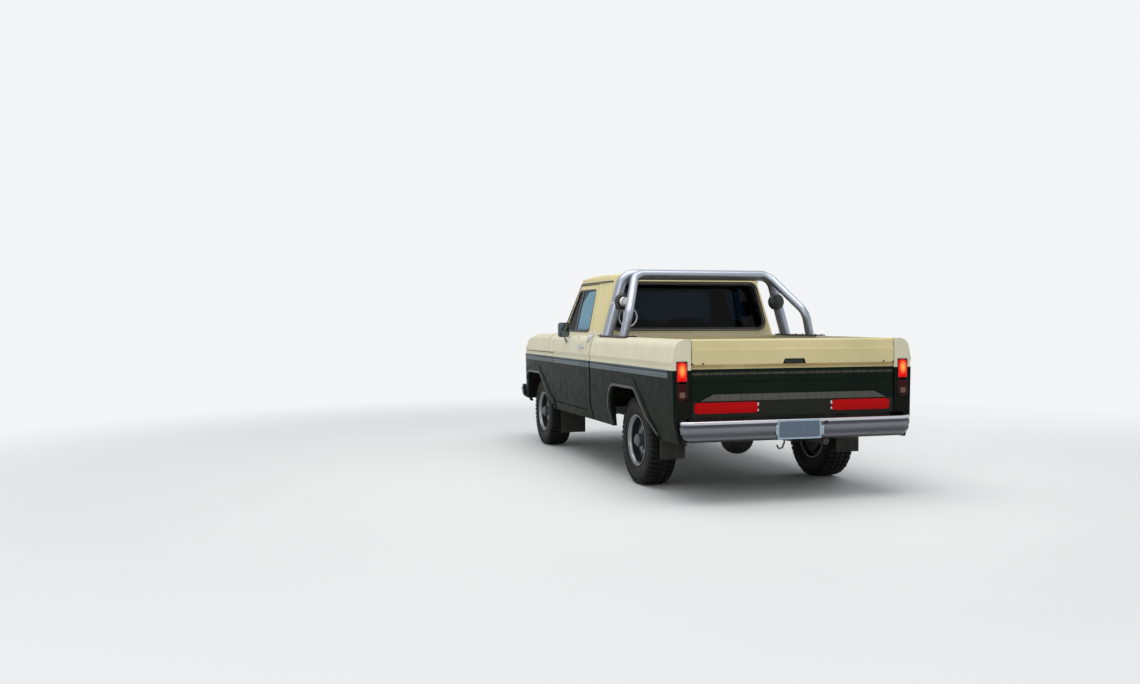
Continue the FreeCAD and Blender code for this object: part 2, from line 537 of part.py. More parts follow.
def make_front():
    half = NOSE[3]["half"] + 20 - 13 - SKIN - 1
    panel = box(FRONT_PANEL_X, FRONT_PANEL_X + 45, -half, half, FRAME_TOP_FRONT, HOOD_SEAM_Z)
    window = box(FRONT_PANEL_X - 5, FRONT_PANEL_X + 60, -GRILLE_HALF, GRILLE_HALF, GRILLE_LOW, GRILLE_HIGH)
    lamp_holes = [rod(V(FRONT_PANEL_X - 5, y, HEADLAMP_Z), V(FRONT_PANEL_X + 60, y, HEADLAMP_Z), HEADLAMP_R + 0.3)
                  for y in (-HEADLAMP_Y, HEADLAMP_Y)]
    radiator = box(FRONT_PANEL_X - 70, FRONT_PANEL_X, -380, 380, FRAME_TOP_FRONT + 20, 1000)
    save("front_panel", fused([panel.cut([window] + lamp_holes), radiator]))
    bars = []
    columns = 16
    for i in range(columns + 1):
        y = -GRILLE_HALF + i * 2 * GRILLE_HALF / columns
        y = min(max(y, -GRILLE_HALF + 5), GRILLE_HALF - 5)
        bars.append(box(FRONT_PANEL_X + 4, FRONT_PANEL_X + 58, y - 5, y + 5, GRILLE_LOW, GRILLE_HIGH))
    rows = 5
    for i in range(rows + 1):
        z = GRILLE_LOW + i * (GRILLE_HIGH - GRILLE_LOW) / rows
        z = min(max(z, GRILLE_LOW + 5), GRILLE_HIGH - 5)
        bars.append(box(FRONT_PANEL_X + 4, FRONT_PANEL_X + 58, -GRILLE_HALF, GRILLE_HALF, z - 5, z + 5))
    save("grille", fused(bars))
    lamp = ring([(0.0, 0.0), (0.0, HEADLAMP_R), (52.0, HEADLAMP_R), (58.0, HEADLAMP_R - 8), (72.0, 50.0), (78.0, 0.0)],
                0.0, 0.0, 0.0)
    lamp.rotate(V(0, 0, 0), V(0, 0, 1), -90)
    lamps = []
    for y in (-HEADLAMP_Y, HEADLAMP_Y):
        one = lamp.copy()
        one.translate(V(FRONT_PANEL_X, y, HEADLAMP_Z))
        lamps.append(one)
    save("headlamps", Part.makeCompound(lamps))


def bumper(x_face, depth, low, high, half, sign):
    """Curved bumper bar; sign is the way it faces."""
    back = x_face - sign * depth
    plan = [(back, -half), (x_face - sign * 26, -half, 24.0), (x_face, -half + 75, 60.0), (x_face, half - 75, 60.0),
            (x_face - sign * 26, half, 24.0), (back, half), (back, half - 12), (x_face - sign * 40, half - 60),
            (x_face - sign * 40, -half + 60), (back, -half + 12)]
    bar = plan_prism(plan, low, high)
    mid = (low + high) / 2
    section = side_prism([(x_face - sign * 400, low), (x_face - sign * 24, low, 8.0), (x_face - sign * 2, low + 38),
                          (x_face, mid + 22), (x_face - sign * 22, high, 10.0), (x_face - sign * 400, high)],
                         -half - 5, half + 5)
    ends = cross_prism([(-half + 20, low, 18.0), (half - 20, low, 18.0), (half, low + 62, 60.0), (half, high, 22.0),
                        (-half, high, 22.0), (-half, low + 62, 60.0)], x_face - 200, x_face + 200)
    return bar.common(section).common(ends)


def make_bumpers():
    rear = bumper(REAR_END, 90.0, 457.0, 616.0, 962.0, -1)
    brackets = []
    for y in (-470.0, 410.0):
        brackets.append(box(REAR_END + 38, REAR_AXLE - 985, y, y + 60, 500, 580))
    save("bumper_rear", fused([rear] + brackets))
    front = bumper(FRONT_END, 110.0, 450.0, 620.0, 960.0, 1)
    brackets = []
    for y in (-470.0, 410.0):
        brackets.append(box(FRONT_AXLE + 700, FRONT_END - 38, y, y + 60, 500, 580))
    save("bumper_front", fused([front] + brackets))


# Chassis frame: side outline of one rail
FRAME_TOP_REAR = 655.0
FRAME_TOP_MIDDLE = FLOOR_Z - FLOOR_THICK
FRAME_TOP_FRONT = 640.0
RAIL_OUT = 442.0
RAIL_WIDE = 62.0
RAIL_SIDE = [(REAR_AXLE - 985.0, 530.0), (REAR_AXLE - 985.0, 620.0), (REAR_AXLE - 940.0, FRAME_TOP_REAR),
             (REAR_AXLE + 430.0, FRAME_TOP_REAR, 200.0), (REAR_AXLE + 700.0, FRAME_TOP_MIDDLE, 200.0),
             (FRONT_AXLE - 560.0, FRAME_TOP_MIDDLE, 150.0), (FRONT_AXLE - 330.0, FRAME_TOP_FRONT, 150.0),
             (FRONT_AXLE + 600.0, FRAME_TOP_FRONT, 80.0), (FRONT_AXLE + 700.0, 590.0), (FRONT_AXLE + 700.0, 490.0),
             (FRONT_AXLE + 420.0, 510.0, 150.0), (FRONT_AXLE - 420.0, 510.0, 200.0),
             (FRONT_AXLE - 700.0, 420.0, 200.0), (REAR_AXLE + 700.0, 420.0, 200.0), (REAR_AXLE + 430.0, 530.0, 200.0)]
# Crossmembers: place, underside and height
CROSS_PLACES = [(REAR_AXLE - 940.0, 540.0, 70.0), (REAR_AXLE - 380.0, 545.0, 70.0), (REAR_AXLE + 420.0, 540.0, 70.0),
                (REAR_AXLE + 820.0, 498.0, 55.0), (FRONT_AXLE - 620.0, 459.7, 60.0), (FRONT_AXLE + 420.0, 525.0, 70.0)]


def make_frame():
    rail = side_prism(RAIL_SIDE, RAIL_OUT - RAIL_WIDE, RAIL_OUT)
    save("frame_rails", both(rail))
    inner = RAIL_OUT - RAIL_WIDE
    save("crossmembers", Part.makeCompound([box(x - 35, x + 35, -inner, inner, z, z + tall)
                                            for x, z, tall in CROSS_PLACES]))


AXLE_TUBE = 40.0
GEARBOX_BACK = FRONT_AXLE - 1150.0
GEARBOX_Z = 580.0
SPINDLE = 22.0
HUB_IN = 755.0
HUB_OUT = 905.0
SPINDLE_END = 880.0
DRUM_R = 140.0
SPRING_Y = 540.0


def spindle(x, y_start):
    shaft = rod(V(x, y_start, TYRE_RADIUS), V(x, SPINDLE_END, TYRE_RADIUS), SPINDLE)
    plate = rod(V(x, 716, TYRE_RADIUS), V(x, HUB_IN - 0.5, TYRE_RADIUS), DRUM_R)
    return [shaft, plate]


def make_rear_axle():
    tube = rod(V(REAR_AXLE, -720, TYRE_RADIUS), V(REAR_AXLE, 720, TYRE_RADIUS), AXLE_TUBE)
    housing = Part.makeSphere(148, V(REAR_AXLE, 0, TYRE_RADIUS))
    slab = box(REAR_AXLE - 150, REAR_AXLE + 150, -105, 105, 100, 600)
    nose = Part.makeCone(95, 55, 190, V(REAR_AXLE + 90, 0, TYRE_RADIUS), V(1, 0, 0.1))
    ends = spindle(REAR_AXLE, 700)
    pads = [box(REAR_AXLE - 55, REAR_AXLE + 55, SPRING_Y - 32, SPRING_Y + 32, TYRE_RADIUS + 30, SPRING_PAD)]
    parts = ends + pads
    shaft = rod(V(REAR_AXLE + 270, 0, TYRE_RADIUS + 18), V(GEARBOX_BACK - 5, 0, GEARBOX_Z), 34.0)
    axle = fused([tube, housing.common(slab), nose, shaft] + parts + [mirrored(s) for s in parts])
    save("rear_axle", axle)


SPRING_PAD = 418.0
SPRING_SPAN = 640.0


def make_springs():
    leaves = []
    for i in range(4):
        reach = SPRING_SPAN - i * 150.0
        z = SPRING_PAD + 0.0 + (3 - i) * 9.0
        ends_rise = 70.0 - i * 16.0
        low = [(REAR_AXLE - reach, z + ends_rise * 1.4), (REAR_AXLE - reach * 0.5, z + ends_rise * 0.4),
               (REAR_AXLE - 55.0, z), (REAR_AXLE + 55.0, z), (REAR_AXLE + reach * 0.5, z + ends_rise * 0.4),
               (REAR_AXLE + reach, z + ends_rise * 1.4)]
        high = [(x, zz + 9.0) for x, zz in reversed(low)]
        leaves.append(side_prism(low + high, SPRING_Y - 30, SPRING_Y + 30))
    tip_z = SPRING_PAD + 27.0 + 98.0
    for end in (-1, 1):
        x = REAR_AXLE + end * SPRING_SPAN
        leaves.append(rod(V(x, SPRING_Y - 32, tip_z + 4), V(x, SPRING_Y + 32, tip_z + 4), 24.0))
        leaves.append(rod(V(x, RAIL_OUT, tip_z + 4), V(x, SPRING_Y + 34, tip_z + 4), 10.0))
    leaves.append(rod(V(REAR_AXLE - 60, SPRING_Y - 5, SPRING_PAD + 40), V(REAR_AXLE - 260, RAIL_OUT + 42, 600), 25.0))
    leaves.append(rod(V(REAR_AXLE - 250, RAIL_OUT, 592), V(REAR_AXLE - 250, RAIL_OUT + 50, 592), 10.0))
    rear = fused(leaves)
    coil_low = BEAM_Z + 42
    coil = []
    turns = 7
    pitch = 26.0
    for i in range(turns):
        z = coil_low + 14 + i * pitch
        coil.append(Part.makeTorus(52, 8, V(FRONT_AXLE, COIL_Y, z)))
    core = rod(V(FRONT_AXLE, COIL_Y, coil_low), V(FRONT_AXLE, COIL_Y, coil_low + turns * pitch + 6), 46.0)
    tower = box(FRONT_AXLE - 62, FRONT_AXLE + 62, RAIL_OUT, COIL_Y + 62, coil_low + turns * pitch, 630)
    front = fused(coil + [core, tower])
    save("springs", Part.makeCompound([rear, mirrored(rear), front, mirrored(front)]))


COIL_Y = 505.0
BEAM_Z = 350.0
BOSS_R = 27.0
KINGPIN = 11.0


def make_front_axle():
    beams = []
    for sign, shift in ((1, 40.0), (-1, -40.0)):
        x = FRONT_AXLE + shift
        profile = [(sign * -240.0, 430.0), (sign * -240.0, 490.0), (sign * 120.0, 440.0), (sign * 420.0, BEAM_Z + 40),
                   (sign * 560.0, BEAM_Z + 40), (sign * 690.0, BEAM_Z + 50), (sign * 690.0, BEAM_Z - 20),
                   (sign * 560.0, BEAM_Z - 25), (sign * 420.0, BEAM_Z - 25), (sign * 120.0, 370.0)]
        beam = cross_prism(profile, x - 28, x + 28)
        seat = box(FRONT_AXLE - 64, FRONT_AXLE + 64, min(sign * 440, sign * 570), max(sign * 440, sign * 570),
                   BEAM_Z - 25, BEAM_Z + 42)
        eye_y = sign * KINGPIN_Y
        arm = box(FRONT_AXLE - 68, FRONT_AXLE + 68, min(sign * 560, sign * 640), max(sign * 560, sign * 640),
                  BEAM_Z - 25, BEAM_Z + 40)
        reach = box(FRONT_AXLE - 22, FRONT_AXLE + 22, min(sign * 600, eye_y), max(sign * 600, eye_y), BEAM_Z - 20,
                    BEAM_Z + 50)
        boss = rod(V(FRONT_AXLE, eye_y, BEAM_Z - 20), V(FRONT_AXLE, eye_y, BEAM_Z + 50), BOSS_R)
        bore = rod(V(FRONT_AXLE, eye_y, BEAM_Z - 30), V(FRONT_AXLE, eye_y, BEAM_Z + 60), KINGPIN + PIN_PLAY)
        hanger = box(x - 26, x + 26, min(sign * -240, sign * -190), max(sign * -240, sign * -190), 430, 500)
        arm_rod = rod(V(FRONT_AXLE - 60, sign * 470, BEAM_Z), V(FRONT_AXLE - 800, sign * 345, 398), 18.0)
        arm_seat = box(FRONT_AXLE - 830, FRONT_AXLE - 775, min(sign * 325, sign * 379.7), max(sign * 325, sign * 379.7),
                       385, 500)
        beams.append(fused([beam, hanger, seat, arm, reach, boss, arm_rod, arm_seat]).cut(bore))
    cross = box(FRONT_AXLE - 85, FRONT_AXLE + 85, -(RAIL_OUT - RAIL_WIDE), RAIL_OUT - RAIL_WIDE, 500, 560)
    save("front_axle", Part.makeCompound(beams + [cross]))


def make_knuckles():
    x = FRONT_AXLE
    y = KINGPIN_Y
    pin = rod(V(x, y, BEAM_Z - 45), V(x, y, BEAM_Z + 75), KINGPIN)
    lower = rod(V(x, y, BEAM_Z - 45), V(x, y, BEAM_Z - 20.4), 24.0)
    upper = rod(V(x, y, BEAM_Z + 50.4), V(x, y, BEAM_Z + 75), 24.0)
    web = box(x - 24, x + 24, y + BOSS_R + 6, y + 50, BEAM_Z - 45, BEAM_Z + 75)
    lower_arm = box(x - 20, x + 20, y, y + 50, BEAM_Z - 45, BEAM_Z - 20.4)
    upper_arm = box(x - 20, x + 20, y, y + 50, BEAM_Z + 50.4, BEAM_Z + 75)
    shaft = rod(V(x, y + 40, TYRE_RADIUS), V(x, SPINDLE_END, TYRE_RADIUS), SPINDLE)
    plate = rod(V(x, y + 42, TYRE_RADIUS), V(x, HUB_IN + 14.5, TYRE_RADIUS), DRUM_R)
    knuckle = fused([pin, lower, upper, web, lower_arm, upper_arm, shaft, plate])
    save("knuckle_left", knuckle)
    save("knuckle_right", mirrored(knuckle))


# Rim section, as (place across the wheel from its middle, radius)
RIM = [(-95.0, 207.0), (-95.0, 200.0), (-82.0, 193.0), (-60.0, 190.0), (-50.0, 168.0), (10.0, 168.0), (22.0, 190.0),
       (78.0, 190.0), (92.0, 200.0), (108.0, 204.0), (108.0, 211.0), (92.0, 207.0), (85.0, 197.0), (18.0, 197.0),
       (5.0, 175.0), (-45.0, 175.0), (-56.0, 197.0), (-82.0, 200.0), (-88.0, 207.0)]
DISC = [(-26.0, 50.0), (-26.0, 62.0), (28.0, 84.0), (40.0, 96.0), (40.0, 118.0), (-2.0, 160.0), (-6.0, 169.0),
        (10.0, 169.0), (14.0, 160.0), (50.0, 122.0), (50.0, 90.0), (34.0, 74.0), (-8.0, 50.0)]
SLOTS = 15


def make_wheel(name, x, y_mid, flip):
    rim = ring(RIM, 0.0, 0.0, 0.0)
    disc = ring(DISC, 0.0, 0.0, 0.0)
    hub = rod(V(0, HUB_IN - WHEEL_MID_Y + 16, 0), V(0, HUB_OUT - WHEEL_MID_Y - 8, 0), 52.0)
    cap = Part.makeCone(52, 30, 18, V(0, HUB_OUT - WHEEL_MID_Y - 8, 0), V(0, 1, 0))
    bore = rod(V(0, -200, 0), V(0, SPINDLE_END - WHEEL_MID_Y + 0.5, 0), SPINDLE + PIN_PLAY)
    slots = []
    for i in range(SLOTS):
        hole = box(-11, 11, -40, 80, 128, 152)
        hole.rotate(V(0, 0, 0), V(0, 1, 0), i * 360.0 / SLOTS)
        slots.append(hole)
    rim = fused([rim, disc.cut(slots), hub, cap]).cut(bore)
    tyre = tyre_shape()
    for shape in (rim, tyre):
        if flip:
            shape.rotate(V(0, 0, 0), V(0, 0, 1), 180)
        shape.translate(V(x, y_mid, TYRE_RADIUS))
    save("rim_" + name, rim)
    save("tyre_" + name, tyre)


# Tyre: carcass section (place across, radius) and its staggered tread lugs
TREAD_STEPS = 36
LUG_DEPTH = 13.0
CARCASS = [(-88.5, 207.8), (-113.0, 250.0), (-117.5, 292.0), (-108.0, 330.0), (-90.0, TYRE_RADIUS - LUG_DEPTH),
           (90.0, TYRE_RADIUS - LUG_DEPTH), (108.0, 330.0), (117.5, 292.0), (113.0, 250.0), (104.0, 211.9),
           (91.5, 207.6), (85.0, 197.6), (-82.0, 200.8)]
LUG = [(5.0, TYRE_RADIUS - LUG_DEPTH - 3.0), (5.0, TYRE_RADIUS), (92.0, TYRE_RADIUS), (113.0, 333.0), (100.0, 328.0)]


def wedge(points):
    """Solid between two like four-sided outlines."""
    count = len(points) // 2
    faces = [Part.Face(Part.makePolygon(points[:count] + [points[0]])),
             Part.Face(Part.makePolygon(points[count:] + [points[count]]))]
    for i in range(count):
        j = (i + 1) % count
        quad = [points[i], points[j], points[count + j], points[count + i], points[i]]
        faces.append(Part.Face(Part.makePolygon(quad)))
    return Part.Solid(Part.makeShell(faces))


def turned(y, radius, angle):
    return V(radius * math.sin(angle), y, -radius * math.cos(angle))


def tyre_shape():
    step = 2 * math.pi / TREAD_STEPS
    flat = 1 / math.cos(step / 2)
    faces = []
    lugs = []
    for i in range(TREAD_STEPS):
        a = (i - 0.5) * step
        b = a + step
        for k in range(len(CARCASS)):
            y1, r1 = CARCASS[k]
            y2, r2 = CARCASS[(k + 1) % len(CARCASS)]
            quad = [turned(y1, r1 * flat, a), turned(y2, r2 * flat, a), turned(y2, r2 * flat, b),
                    turned(y1, r1 * flat, b)]
            faces.append(Part.Face(Part.makePolygon(quad + [quad[0]])))
        side = 1 if i % 2 == 0 else -1
        shift = step * 0.08
        ends = [[turned(side * y, r * flat, angle) for y, r in LUG] for angle in (a + shift, b - shift)]
        lugs.append(wedge(ends[0] + ends[1]))
    carcass = Part.Solid(Part.makeShell(faces))
    if carcass.Volume < 0:
        carcass.reverse()
    for lug in lugs:
        if lug.Volume < 0:
            lug.reverse()
    return carcass.fuse(lugs)


def make_wheels():
    make_wheel("front_left", FRONT_AXLE, WHEEL_MID_Y, False)
    make_wheel("front_right", FRONT_AXLE, -WHEEL_MID_Y, True)
    make_wheel("rear_left", REAR_AXLE, WHEEL_MID_Y, False)
    make_wheel("rear_right", REAR_AXLE, -WHEEL_MID_Y, True)


# Roll bar
TUBE = 38.0
HOOP_TOP_Z = 1767.0
REAR_HOOP = REAR_AXLE + 712.0
FRONT_HOOP = REAR_AXLE + 812.0
FRONT_TUBE = 48.0
FRONT_FOOT_Y = 890.0
FRONT_TOP_Y = 731.0
FOOT_Z = RAIL_Z
FOOT_THICK = 9.0


def bent_tube(points, radii, tube):
    """Round tube along straight runs with rounded corners, as runs and bends."""
    pieces = []
    last = points[0]
    for i in range(1, len(points) - 1):
        here = points[i]
        before = (points[i - 1] - here).normalize()
        after = (points[i + 1] - here).normalize()
        half = before.getAngle(after) / 2
        reach = radii[i - 1] / math.tan(half)
        start = here + before * reach
        end = here + after * reach
        pieces.append(rod(last, start, tube))
        bisector = (before + after).normalize()
        centre = here + bisector * (radii[i - 1] / math.sin(half))
        axis = before.cross(after).normalize()
        circle = Part.Face(Part.Wire(Part.makeCircle(tube, start, before)))
        pieces.append(circle.revolve(centre, axis * -1, 180 - math.degrees(2 * half)))
        last = end
    pieces.append(rod(last, points[-1], tube))
    return pieces


def make_roll_bar():
    rear = [V(REAR_AXLE + 355, 893, FOOT_Z - 10), V(REAR_AXLE + 348, 843, 1425), V(REAR_HOOP, 655, HOOP_TOP_Z)]
    rear = rear + [V(p.x, -p.y, p.z) for p in reversed(rear)]
    front = [V(FRONT_HOOP, FRONT_FOOT_Y, FOOT_Z - 10), V(FRONT_HOOP, FRONT_TOP_Y, HOOP_TOP_Z)]
    front = front + [V(p.x, -p.y, p.z) for p in reversed(front)]
    pieces = bent_tube(rear, [160.0, 130.0, 130.0, 160.0], TUBE) + bent_tube(front, [140.0, 140.0], FRONT_TUBE)
    for y in (-480.0, 0.0, 480.0):
        pieces.append(box(REAR_HOOP, FRONT_HOOP, y - 25, y + 25, HOOP_TOP_Z - 22, HOOP_TOP_Z + 22))
    below = box(REAR_AXLE, REAR_AXLE + 1200, -HALF_WIDTH, HALF_WIDTH, 1000, FOOT_Z + FOOT_THICK)
    hoops = fused(pieces).cut(below)
    save("roll_bar", hoops)
    foot = box(REAR_AXLE + 170, REAR_AXLE + 930, 838, 941, FOOT_Z, FOOT_Z + FOOT_THICK)
    save("roll_bar_feet", both(foot))
    make_bar_lamps(hoops)


# Round lamps behind the front hoop's legs, with a ring hung on the left one
BAR_LAMPS = {"right": -745.0, "left": 768.0}
BAR_LAMP_Z = 1522.0
BAR_LAMP_X = FRONT_HOOP - 92.0
BAR_LAMP_R = 75.0
BAR_ARM_OUT = 800.0
RING_R = 86.0
RING_Y = 690.0
RING_Z = 1384.0


def make_bar_lamps(hoops):
    body = ring([(-38.0, 0.0), (-38.0, 30.0), (-22.0, 60.0), (-16.0, BAR_LAMP_R), (22.0, BAR_LAMP_R), (30.0, 62.0),
                 (30.0, 0.0)], 0.0, 0.0, 0.0)
    body.rotate(V(0, 0, 0), V(0, 0, 1), 90)
    lamps = []
    for y in BAR_LAMPS.values():
        one = body.copy()
        one.translate(V(BAR_LAMP_X, y, BAR_LAMP_Z))
        out_y = math.copysign(BAR_ARM_OUT, y)
        arm = box(BAR_LAMP_X, FRONT_HOOP, min(y, out_y), max(y, out_y), BAR_LAMP_Z - 14, BAR_LAMP_Z + 14)
        lamps.append(fused([one, arm]).cut(hoops))
    loop = Part.makeTorus(RING_R, 6.5, V(FRONT_HOOP, RING_Y, RING_Z), V(1, 0, 0))
    strap = box(FRONT_HOOP - 6, FRONT_HOOP + 6, RING_Y + 50, RING_Y + 62, RING_Z - 74, BAR_LAMP_Z)
    lamps.append(fused([loop, strap]).cut([hoops, lamps[1]]))
    save("roll_bar_lamps", Part.makeCompound(lamps))


def make_mudflaps():
    rear = box(REAR_AXLE - 478, REAR_AXLE - 470, 672, 880, 262, BED_FLOOR_Z - BED_FLOOR_THICK - 0.3)
    front = box(FRONT_AXLE - 552, FRONT_AXLE - 544, 600, 860, 180, 547.7)
    save("mudflaps", Part.makeCompound([rear, mirrored(rear), front, mirrored(front)]))


def make_exhaust():
    y = -300.0
    low = 416.0
    over_axle = 472.0
    route = [V(FRONT_AXLE - 440, -240, 640), V(FRONT_AXLE - 440, y, 640), V(FRONT_AXLE - 440, y, low),
             V(REAR_AXLE + 420, y, low), V(REAR_AXLE + 170, y, over_axle), V(REAR_AXLE - 170, y, over_axle),
             V(REAR_AXLE - 420, y, low), V(REAR_AXLE - 960, y, low)]
    pieces = bent_tube(route, [34.0, 60.0, 300.0, 300.0, 300.0, 300.0], 25.0)
    pieces.append(rod(V(REAR_AXLE + 1200, y, low), V(REAR_AXLE + 1700, y, low), 72.0))
    for x, underside, tall in (CROSS_PLACES[0], CROSS_PLACES[3]):
        pieces.append(box(x - 12, x + 12, y - 8, y + 8, low + 15, underside - 0.3))
    save("exhaust", fused(pieces))


# Room between the cowl and the back of the engine
ENGINE_ROOM = 65.0


def make_engine():
    engine_back = COWL_FRONT + ENGINE_ROOM
    block = box(engine_back, FRONT_AXLE + 290, -240, 240, 565, 1080)
    gearbox = box(GEARBOX_BACK, engine_back, -100, 100, 520, 650)
    mount = box(FRONT_AXLE - 140, FRONT_AXLE - 60, -420, 420, FRAME_TOP_FRONT + 0.3, FRAME_TOP_FRONT + 50)
    save("engine", fused([block, gearbox, mount]))


def make_interior():
    seat_low = FLOOR_Z + 95.3
    seat_split = CAB_BACK + 239.0
    cushion = side_prism([(seat_split + 0.3, seat_low), (seat_split + 0.3, 880.0, 30.0),
                          (CAB_BACK + 760, 920.0, 50.0), (CAB_BACK + 780, seat_low, 30.0)], -660, 660)
    base = box(CAB_BACK + 280, CAB_BACK + 700, 160, 600, FLOOR_Z + 0.3, seat_low)
    save("seat_cushion", fused([cushion, base, mirrored(base)]))
    back = side_prism([(CAB_BACK + 130, seat_low), (CAB_BACK + 78, 1375.0, 40.0), (CAB_BACK + 160, 1390.0, 40.0),
                       (seat_split, 890.0, 30.0), (seat_split, seat_low)], -660, 660)
    save("seat_back", back)
    dash = side_prism([(DOOR_FRONT + 90, 930.0), (DOOR_FRONT - 60, 930.0, 30.0), (DOOR_FRONT - 110, 1020.0, 30.0),
                       (DOOR_FRONT - 70, 1165.0, 40.0), (DOOR_FRONT + 90, 1185.0)], -800, 800)
    save("dashboard", dash)
    wheel = Part.makeTorus(195, 12, V(0, 0, 0), V(0, 0, 1))
    spokes = [box(-190, 190, -14, 14, -8, 4), box(-14, 14, -190, 0, -8, 4)]
    hub = rod(V(0, 0, -35), V(0, 0, 12), 45.0)
    column = rod(V(0, 0, -330), V(0, 0, -20), 26.0)
    wheel = fused([wheel, hub, column] + spokes)
    wheel.rotate(V(0, 0, 0), V(0, 0, 1), 90)
    wheel.rotate(V(0, 0, 0), V(0, 1, 0), -62)
    wheel.translate(V(DOOR_FRONT - 340, 370, 1150))
    save("steering_wheel", wheel.cut(dash))


MIRROR_BACK = 455.0


def make_door_fittings():
    mirror_x = DOOR_FRONT - MIRROR_BACK
    head = plan_prism([(mirror_x - 22, 962.0, 8.0), (mirror_x - 22, 1080.0, 8.0), (mirror_x + 20, 1066.0, 20.0),
                       (mirror_x + 20, 976.0, 20.0)], 1190.0, 1335.0)
    corners = cross_prism([(962.0, 1190.0, 26.0), (1080.0, 1190.0, 26.0), (1080.0, 1335.0, 26.0), (962.0, 1335.0, 26.0)],
                          mirror_x - 30, mirror_x + 30)
    mirror_head = head.common(corners)
    post = rod(V(mirror_x + 4, 1000, 1150), V(mirror_x + 4, 1006, 1200), 8.0)
    foot = rod(V(mirror_x + 4, 950, 1128), V(mirror_x + 4, 1004, 1152), 15.0)
    handle = box(DOOR_REAR + 70, DOOR_REAR + 190, 975, 1015, 1095, 1118)
    for side in ("left", "right"):
        turn = (lambda s: s) if side == "left" else mirrored
        save("door_" + side, turn(door))
        save("door_glass_" + side, turn(pane))
        trim = [fused([mirror_head, post, foot]).cut(door), handle.cut(door), moulding([(DOOR_REAR, HALF_WIDTH),
                                                                                       (DOOR_FRONT - 4, HALF_WIDTH)])]
        save("door_trim_" + side, turn(Part.makeCompound(trim)))


MOULDING_PROUD = 7.5


def side_drop(z):
    """How far the body side lies inside its widest line at a height on its lower part."""
    for low, high in zip(LOWER_SIDE, LOWER_SIDE[1:]):
        if low[1] <= z <= high[1]:
            return low[0] + (high[0] - low[0]) * (z - low[1]) / (high[1] - low[1])
    return SHOULDER[0][0]


def moulding(stations):
    """Raised side strip along (x, half width) stations."""
    wires = []
    for x, half in stations:
        low = half - side_drop(MOULDING_LOW_Z)
        high = half - side_drop(MOULDING_TOP_Z)
        wires.append(outline([(low, MOULDING_LOW_Z), (low + MOULDING_PROUD, MOULDING_LOW_Z + 6),
                              (low + MOULDING_PROUD, MOULDING_TOP_Z - 6), (high, MOULDING_TOP_Z)],
                             lambda a, b, x=x: V(x, a, b)))
    return loft(wires)


def make_side_trim():
    full = HALF_WIDTH
    nose = NOSE[2]
    strips = [moulding([(TAIL_X + 95, full), (BED_FRONT, full)]),
              moulding([(CAB_BACK, full), (DOOR_REAR - SEAM - 3, full)]),
              moulding([(DOOR_FRONT + SEAM + 4, full), (NOSE[1]["x"], full), (nose["x"], nose["half"])])]
    cap = Part.makeCylinder(41.0, 72.0, V(CAB_BACK + 84, 900, 1146), V(0, 0.78, 0.63))
    cap = cap.cut(body_block(CAB_BACK, COWL_FRONT))
    save("side_trim", Part.makeCompound(strips + [mirrored(s) for s in strips] + [cap]))


os.makedirs("parts", exist_ok=True)
door, pane = make_cab()
make_bed()
make_tailgate()
make_tail_lamps()
make_hood()
make_fenders()
make_front()
make_bumpers()
make_frame()
make_rear_axle()
make_springs()
make_front_axle()
make_knuckles()
make_wheels()
make_roll_bar()
make_mudflaps()
make_exhaust()
make_engine()
make_interior()
make_door_fittings()
make_side_trim()
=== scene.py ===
"""Looks of a worn two-tone pickup truck: materials, trim, wheels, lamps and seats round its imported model."""
import math
from contextlib import contextmanager

import bmesh
import bpy
from mathutils import Matrix, Vector
from mathutils.bvhtree import BVHTree
from mathutils.geometry import convex_hull_2d


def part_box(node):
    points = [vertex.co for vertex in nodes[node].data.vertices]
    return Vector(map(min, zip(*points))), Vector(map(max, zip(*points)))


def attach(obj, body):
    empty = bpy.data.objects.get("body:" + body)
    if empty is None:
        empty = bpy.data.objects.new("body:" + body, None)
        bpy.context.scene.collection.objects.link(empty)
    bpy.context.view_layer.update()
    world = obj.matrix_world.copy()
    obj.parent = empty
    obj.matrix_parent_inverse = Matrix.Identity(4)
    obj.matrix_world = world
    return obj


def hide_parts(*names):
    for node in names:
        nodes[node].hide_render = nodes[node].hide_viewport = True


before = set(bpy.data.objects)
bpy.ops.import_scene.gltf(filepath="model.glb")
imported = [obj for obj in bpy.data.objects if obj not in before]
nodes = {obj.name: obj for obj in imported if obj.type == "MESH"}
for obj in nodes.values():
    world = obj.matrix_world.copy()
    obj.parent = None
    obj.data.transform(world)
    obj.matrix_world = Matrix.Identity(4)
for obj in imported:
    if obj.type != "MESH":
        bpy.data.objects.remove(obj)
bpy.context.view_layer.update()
scene = bpy.context.scene

# Image size and the camera that saw the truck
IMAGE_WIDE = 1140
IMAGE_HIGH = 684
FOCAL_PX = 1053.893
CAMERA_AT = Vector((-9.54069, 3.87663, 1.35589))
CAMERA_YAW = -0.2854704
CAMERA_PITCH = -0.0205768
CAMERA_ROLL = -0.0032958
SENSOR = 36.0

# Stations of the body and heights of its paint, in metres
TAIL_X = -2.3865
REAR_END = -2.4765
FRONT_END = 2.4765
HALF_WIDTH = 1.0035
CAB_BACK = -0.3435
DOOR_REAR = -0.2155
DOOR_FRONT = 0.8755
BELT_Z = 1.195
SPLIT_Z = 0.985
SILL_Z = 0.445
WHEEL_R = 0.365
SIDES = (("left", 1), ("right", -1))


